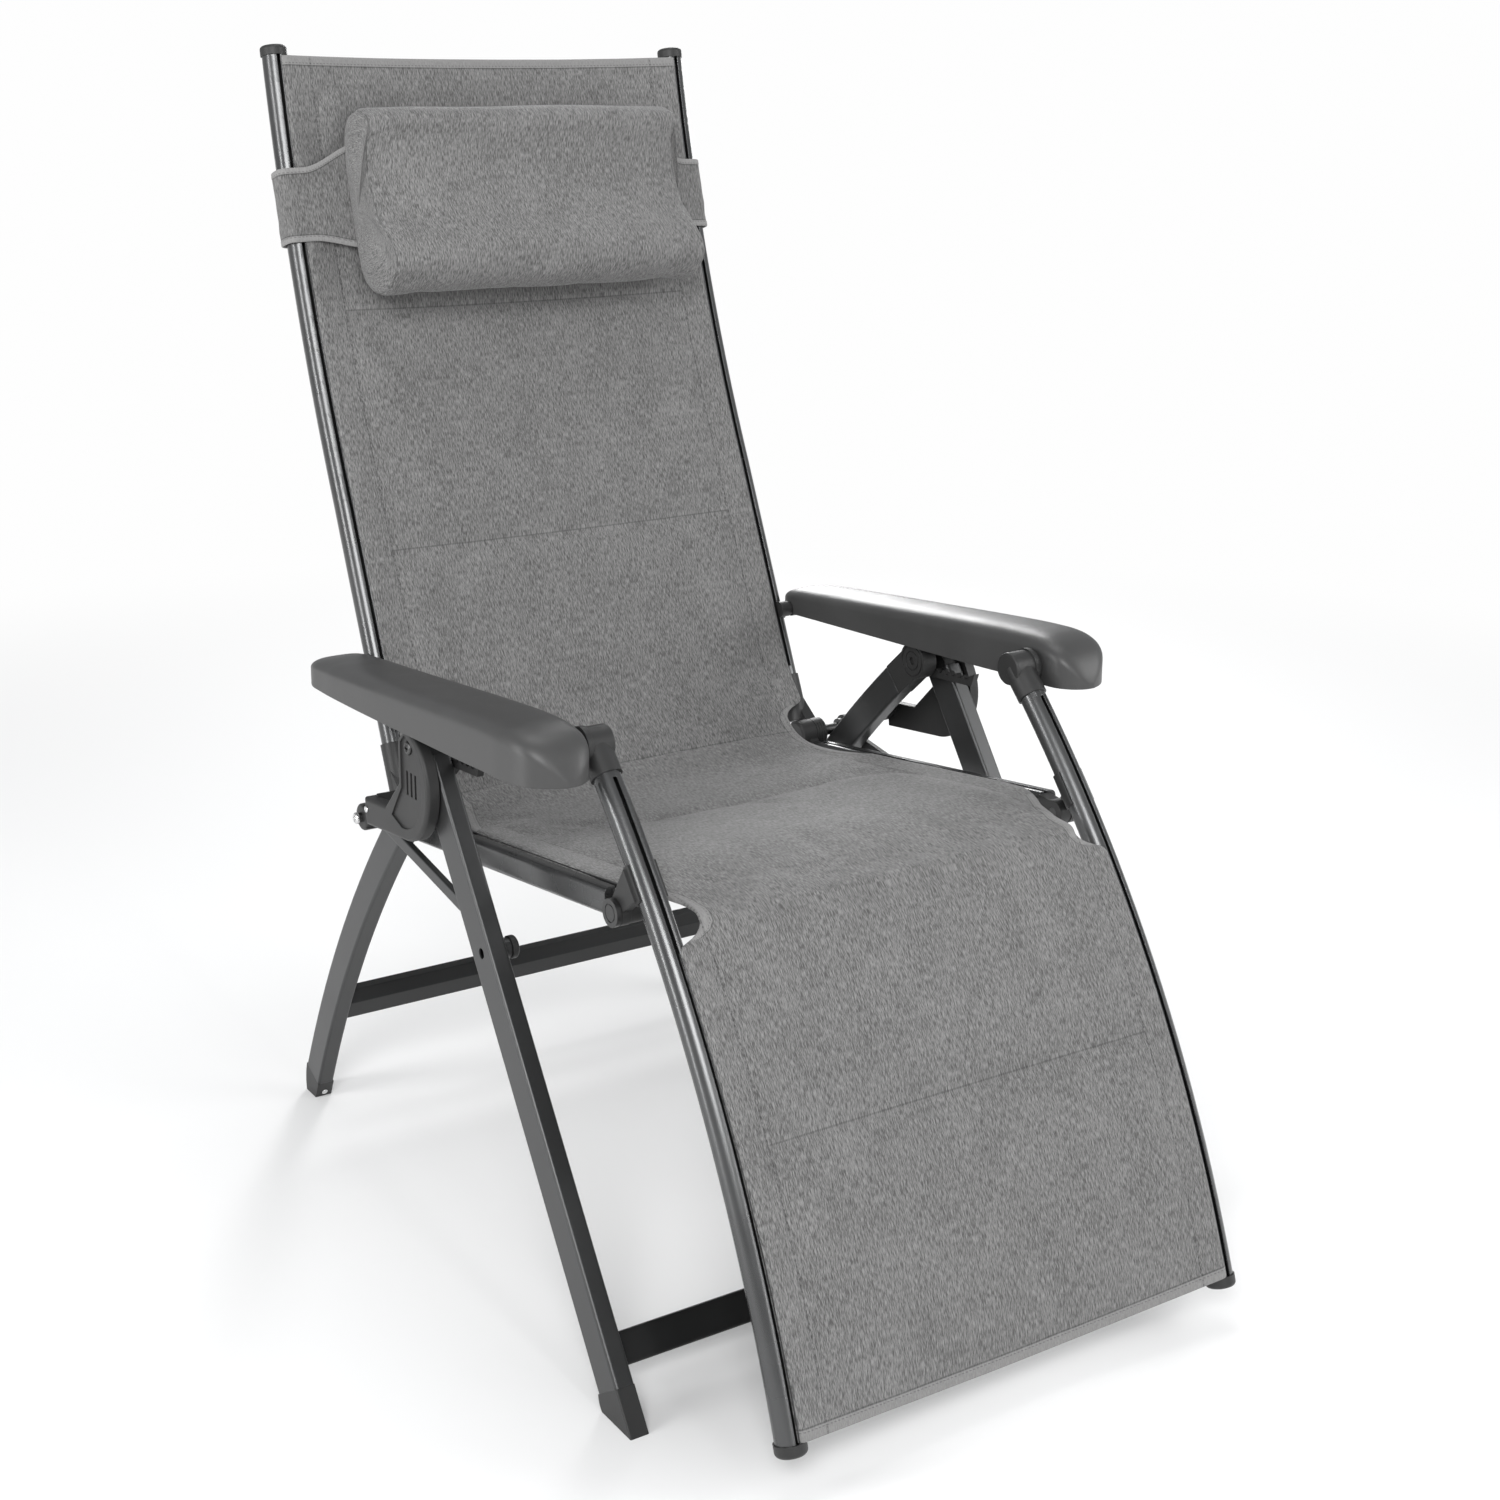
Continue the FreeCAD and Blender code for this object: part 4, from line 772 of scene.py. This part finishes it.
# ------------------------------------------------------------------ materials
class Tree:
    """Short names for building a shader."""

    def __init__(self, name):
        self.material = bpy.data.materials.new(name)
        self.material.use_nodes = True
        self.tree = self.material.node_tree
        self.shader = self.tree.nodes["Principled BSDF"]

    def add(self, kind, **settings):
        node = self.tree.nodes.new(kind)
        for key, value in settings.items():
            setattr(node, key, value)
        return node

    def put(self, socket, value):
        if isinstance(value, bpy.types.NodeSocket):
            self.tree.links.new(value, socket)
        elif isinstance(value, (tuple, list)) and socket.type == "RGBA" and len(value) == 3:
            socket.default_value = (*value, 1.0)
        else:
            socket.default_value = value

    def set(self, name, value):
        self.put(self.shader.inputs[name], value)

    def math(self, operation, a, b=0.0, c=0.0):
        node = self.add("ShaderNodeMath", operation=operation)
        for socket, value in zip(node.inputs, (a, b, c)):
            self.put(socket, value)
        return node.outputs[0]

    def attribute(self, name):
        return self.add("ShaderNodeAttribute", attribute_name=name).outputs["Fac"]

    def remap(self, value, low, high, to_low=0.0, to_high=1.0):
        node = self.add("ShaderNodeMapRange", interpolation_type="SMOOTHSTEP")
        for socket, v in zip(node.inputs, (value, low, high, to_low, to_high)):
            self.put(socket, v)
        return node.outputs[0]

    def noise(self, vector, scale, detail=3.0, rough=0.55):
        node = self.add("ShaderNodeTexNoise")
        self.put(node.inputs["Vector"], vector)
        self.put(node.inputs["Scale"], scale)
        self.put(node.inputs["Detail"], detail)
        self.put(node.inputs["Roughness"], rough)
        return node.outputs[0]

    def mix(self, share, a, b):
        node = self.add("ShaderNodeMix", data_type="RGBA")
        self.put(node.inputs[0], share)
        self.put(node.inputs[6], a)
        self.put(node.inputs[7], b)
        return node.outputs[2]

    def vector(self, x, y, z=0.0):
        node = self.add("ShaderNodeCombineXYZ")
        for socket, value in zip(node.inputs, (x, y, z)):
            self.put(socket, value)
        return node.outputs[0]

    def bump(self, height, distance, strength=1.0, normal=None):
        node = self.add("ShaderNodeBump")
        self.put(node.inputs["Height"], height)
        self.put(node.inputs["Distance"], distance)
        self.put(node.inputs["Strength"], strength)
        if normal is not None:
            self.put(node.inputs["Normal"], normal)
        return node.outputs[0]

    def soft_edges(self, radius):
        node = self.add("ShaderNodeBevel", samples=4)
        self.put(node.inputs["Radius"], radius)
        return node.outputs[0]

    def object_space(self):
        return self.add("ShaderNodeTexCoord").outputs["Object"]


def grey(value, warm=0.0):
    return (value * (1 + warm), value, value * (1 - warm))


def fabric_material(name, dark, light, binding, tape_width, stitched):
    """Heathered woven cloth: short lengthwise streaks of light and dark yarn."""
    t = Tree(name)
    u, v = t.attribute("fab_u"), t.attribute("fab_v")
    fine = t.noise(t.vector(t.math("MULTIPLY", u, 1300.0), t.math("MULTIPLY", v, 170.0)), 1.0, 2.0, 0.6)
    wide = t.noise(t.vector(t.math("MULTIPLY", u, 620.0), t.math("MULTIPLY", v, 62.0), 7.0), 1.0, 2.0, 0.5)
    blotch = t.noise(t.vector(t.math("MULTIPLY", u, 26.0), t.math("MULTIPLY", v, 15.0), 3.0), 1.0, 3.0, 0.55)
    yarn = t.math("ADD", t.math("MULTIPLY", fine, 0.72), t.math("MULTIPLY", wide, 0.28))
    yarn = t.math("ADD", yarn, t.math("MULTIPLY", t.math("SUBTRACT", blotch, 0.5), 0.10))
    base = t.mix(t.remap(yarn, 0.36, 0.66), grey(dark, 0.012), grey(light, 0.008))
    edge, seam = t.attribute("fab_edge"), t.attribute("fab_seam")
    on_tape = t.remap(edge, tape_width - 0.0002, tape_width + 0.0002, 1.0, 0.0)
    tape = t.mix(t.remap(fine, 0.4, 0.62), grey(binding * 0.82, 0.01), grey(binding, 0.01))
    colour = t.mix(on_tape, base, tape)
    # painted shade: a dark band on the cloth just outside the binding tape's raised edge
    off_tape = t.math("ABSOLUTE", t.math("SUBTRACT", edge, tape_width + 0.0004))
    tape_edge_shade = t.remap(off_tape, 0.0003, 0.0012, 0.45, 0.0)
    colour = t.mix(tape_edge_shade, colour, grey(dark * 0.45))
    dash = t.math("SINE", t.math("MULTIPLY", t.math("ADD", u, v), 2 * math.pi / 0.0042))
    off_line = t.math("ABSOLUTE", t.math("SUBTRACT", edge, tape_width * 0.78))
    tape_line = t.remap(off_line, 0.0003, 0.0007, 1.0, 0.0)
    tape_line = t.math("MULTIPLY", tape_line, t.remap(dash, -0.3, 0.2, 0.0, 0.5))
    colour = t.mix(tape_line, colour, grey(dark * 0.6))
    heights = t.math("ADD", t.math("MULTIPLY", fine, 0.5), t.math("MULTIPLY", on_tape, 1.2))
    if stitched:
        # painted shade along the seams' creases, where the puffed cloth dips to the stitching
        crease = t.remap(seam, 0.0002, 0.0014, 1.0, 0.0)
        colour = t.mix(t.math("MULTIPLY", crease, 0.36), colour, grey(dark * 0.35))
        side = t.math("ABSOLUTE", t.math("SUBTRACT", t.math("ABSOLUTE", u), SIDE_SEAM))
        hole = t.math("SINE", t.math("MULTIPLY", v, 2 * math.pi / 0.0052))
        hole = t.math("MULTIPLY", t.remap(side, 0.0004, 0.0010, 1.0, 0.0), t.remap(hole, 0.1, 0.6))
        # painted shade: a soft dark band in the side seams' crease; the dots above are the stitch holes
        line = t.remap(side, 0.0004, 0.0020, 0.13, 0.0)
        colour = t.mix(t.math("MAXIMUM", t.math("MULTIPLY", hole, 0.45), line), colour, grey(dark * 0.28))
        heights = t.math("SUBTRACT", heights, t.math("MULTIPLY", hole, 1.4))
    weave_u = t.math("SINE", t.math("MULTIPLY", u, 2 * math.pi / 0.0013))
    weave_v = t.math("SINE", t.math("MULTIPLY", v, 2 * math.pi / 0.0015))
    heights = t.math("ADD", heights, t.math("MULTIPLY", t.math("MULTIPLY", weave_u, weave_v), 0.18))
    t.set("Base Color", colour)
    t.set("Roughness", 0.86)
    t.set("Specular IOR Level", 0.22)
    t.set("Sheen Weight", 0.18)
    t.set("Sheen Roughness", 0.45)
    t.set("Normal", t.bump(heights, 0.0005, 0.75))
    return t.material


def painted_metal(name, value, rough, peel, edge_wear_and_sheen):
    """Powder coat: orange-peel texture; edges a little lighter in patches, as rubbed edges and as a painted
    highlight along them.
    """
    t = Tree(name)
    where = t.object_space()
    grain = t.noise(where, 1500.0, 2.0)
    cloud = t.noise(where, 9.0, 3.0)
    edges = t.soft_edges(0.0012)
    plain = t.add("ShaderNodeNewGeometry").outputs["Normal"]
    corner = t.add("ShaderNodeVectorMath", operation="DOT_PRODUCT")
    t.put(corner.inputs[0], edges)
    t.put(corner.inputs[1], plain)
    # lighter edges: rubbed paint and a painted highlight along every edge, broken into patches by noise
    edge_wear_and_highlight = t.remap(corner.outputs["Value"], 0.80, 0.97, 1.0, 0.0)
    edge_wear_and_highlight = t.math("MULTIPLY", edge_wear_and_highlight, t.remap(t.noise(where, 60.0, 4.0), 0.50, 0.66, 0.0, edge_wear_and_sheen))
    base = t.mix(t.remap(cloud, 0.3, 0.7), grey(value * 0.93, -0.012), grey(value * 1.07, -0.012))
    t.set("Base Color", t.mix(edge_wear_and_highlight, base, grey(value * 2.4)))
    t.set("Roughness", t.remap(cloud, 0.25, 0.75, rough - 0.035, rough + 0.045))
    t.set("Metallic", 0.72)
    t.set("Specular IOR Level", 0.55)
    t.set("Coat Weight", 0.12)
    t.set("Coat Roughness", rough * 0.7)
    t.set("Normal", t.bump(grain, 0.0002, peel, edges))
    return t.material


def moulded_plastic(name, value, rough, grain_size, depth):
    t = Tree(name)
    where = t.object_space()
    grain = t.noise(where, 1.0 / grain_size, 2.0, 0.6)
    cloud = t.noise(where, 14.0, 3.0)
    t.set("Base Color", t.mix(t.remap(cloud, 0.3, 0.7), grey(value * 0.93), grey(value * 1.07)))
    t.set("Roughness", t.remap(cloud, 0.25, 0.75, rough - 0.04, rough + 0.05))
    t.set("Specular IOR Level", 0.42)
    t.set("Normal", t.bump(grain, 0.0003, depth, t.soft_edges(0.0009)))
    return t.material


def bare_metal(name, value, rough):
    t = Tree(name)
    where = t.object_space()
    t.set("Base Color", grey(value))
    t.set("Metallic", 1.0)
    t.set("Roughness", t.remap(t.noise(where, 220.0, 4.0), 0.3, 0.7, rough - 0.05, rough + 0.08))
    t.set("Normal", t.soft_edges(0.0005))
    return t.material


MATERIALS = {
    "leg_metal": painted_metal("leg_coat", 0.062, 0.36, 0.22, 0.4),
    "tube_metal": painted_metal("tube_coat", 0.088, 0.27, 0.14, 0.3),
    "bar_metal": painted_metal("bar_coat", 0.026, 0.42, 0.25, 0.3),
    "black_plastic": moulded_plastic("black_moulding", 0.022, 0.46, 0.0009, 0.35),
    "arm_plastic": moulded_plastic("arm_moulding", 0.050, 0.40, 0.0009, 0.30),
    "steel": bare_metal("steel_pin", 0.10, 0.40),
    "screw_chrome": bare_metal("chrome_screw", 0.72, 0.18),
    "fabric": fabric_material("heather_weave", 0.074, 0.242, 0.235, BINDING, True),
    "strap": fabric_material("band_weave", 0.070, 0.215, 0.25, 0.0066, False),
}


def finish_cad_nodes():
    slots = {part["node"]: part["material_slot"] for part in frame["record"]["subparts"]}
    for name, node in frame["nodes"].items():
        mesh = node.data
        mesh.materials.clear()
        mesh.materials.append(MATERIALS[slots[name]])
        mesh.shade_smooth()
        mesh.set_sharp_from_angle(angle=math.radians(32))


# ------------------------------------------------------------------ studio
BACKDROP = 0.99


def build_floor():
    t = Tree("studio_floor")
    span = t.add("ShaderNodeVectorMath", operation="LENGTH")
    t.put(span.inputs[0], t.object_space())
    far = t.remap(span.outputs["Value"], 1.1, 3.2)
    t.set("Base Color", grey(0.86))
    t.set("Roughness", 0.65)
    t.set("Specular IOR Level", 0.2)
    glow = t.add("ShaderNodeEmission")
    t.put(glow.inputs["Color"], grey(BACKDROP))
    blend = t.add("ShaderNodeMixShader")
    t.put(blend.inputs[0], far)
    t.put(blend.inputs[1], t.shader.outputs[0])
    t.put(blend.inputs[2], glow.outputs[0])
    t.put(t.tree.nodes["Material Output"].inputs["Surface"], blend.outputs[0])
    s = 60.0
    floor = make_mesh("floor", [(-s, -s, 0), (s, -s, 0), (s, s, 0), (-s, s, 0)], [(0, 1, 2, 3)])
    floor.data.materials.append(t.material)


def build_world():
    world = bpy.data.worlds.new("studio")
    bpy.context.scene.world = world
    world.use_nodes = True
    tree = world.node_tree
    shown = tree.nodes["Background"]
    shown.inputs["Color"].default_value = (*grey(BACKDROP), 1.0)
    light = tree.nodes.new("ShaderNodeBackground")
    light.inputs["Color"].default_value = (0.97, 0.985, 1.0, 1.0)
    light.inputs["Strength"].default_value = 0.42
    path = tree.nodes.new("ShaderNodeLightPath")
    pick = tree.nodes.new("ShaderNodeMixShader")
    tree.links.new(path.outputs["Is Camera Ray"], pick.inputs[0])
    tree.links.new(light.outputs[0], pick.inputs[1])
    tree.links.new(shown.outputs[0], pick.inputs[2])
    tree.links.new(pick.outputs[0], tree.nodes["World Output"].inputs["Surface"])


def soft_light(name, place, target, size, power, shape_y=None):
    data = bpy.data.lights.new(name, "AREA")
    data.shape = "RECTANGLE"
    data.size = size
    data.size_y = shape_y or size
    data.energy = power
    lamp = bpy.data.objects.new(name, data)
    lamp.location = place
    lamp.rotation_euler = (Vector(target) - Vector(place)).to_track_quat("-Z", "Y").to_euler()
    bpy.context.scene.collection.objects.link(lamp)
    return lamp


def build_lights():
    soft_light("key", (-2.2, -2.8, 2.5), (0, 0, 0.6), 1.5, 95)
    soft_light("fill", (2.6, -2.0, 1.7), (0, 0, 0.5), 1.6, 45)
    soft_light("top", (0.2, 0.4, 3.4), (0, 0, 0.4), 1.6, 22)
    soft_light("strip_left", (-2.5, 0.2, 1.1), (0, 0, 0.6), 0.25, 30, 2.2)
    soft_light("strip_front", (-0.3, -3.4, 1.2), (0, 0, 0.6), 0.25, 16, 2.0)
    soft_light("strip_back", (1.7, 2.4, 1.8), (0, 0, 0.6), 0.6, 40, 2.0)


CAMERA_AT = Vector((-1.17100, -1.79818, 1.14039))
CAMERA_TURN = math.radians(-32.0939)
CAMERA_DOWN = math.radians(13.3135)


def build_camera():
    data = bpy.data.cameras.new("main_camera")
    data.sensor_width = 36.0
    data.lens = 52.76
    data.shift_x = 0.0462
    data.shift_y = -0.1006
    camera = bpy.data.objects.new("main_camera", data)
    back = Vector((math.sin(CAMERA_TURN) * math.cos(CAMERA_DOWN),
                   -math.cos(CAMERA_TURN) * math.cos(CAMERA_DOWN), math.sin(CAMERA_DOWN)))
    camera.location = CAMERA_AT
    camera.rotation_euler = (-back).to_track_quat("-Z", "Y").to_euler()
    bpy.context.scene.collection.objects.link(camera)
    bpy.context.scene.camera = camera
    bpy.context.scene.view_settings.view_transform = "Standard"
    bpy.context.scene.view_settings.look = "None"


finish_cad_nodes()
build_sling(MATERIALS["fabric"])
build_pillow(MATERIALS["fabric"])
build_strap(MATERIALS["strap"])
build_armrests()
build_floor()
build_world()
build_lights()
build_camera()
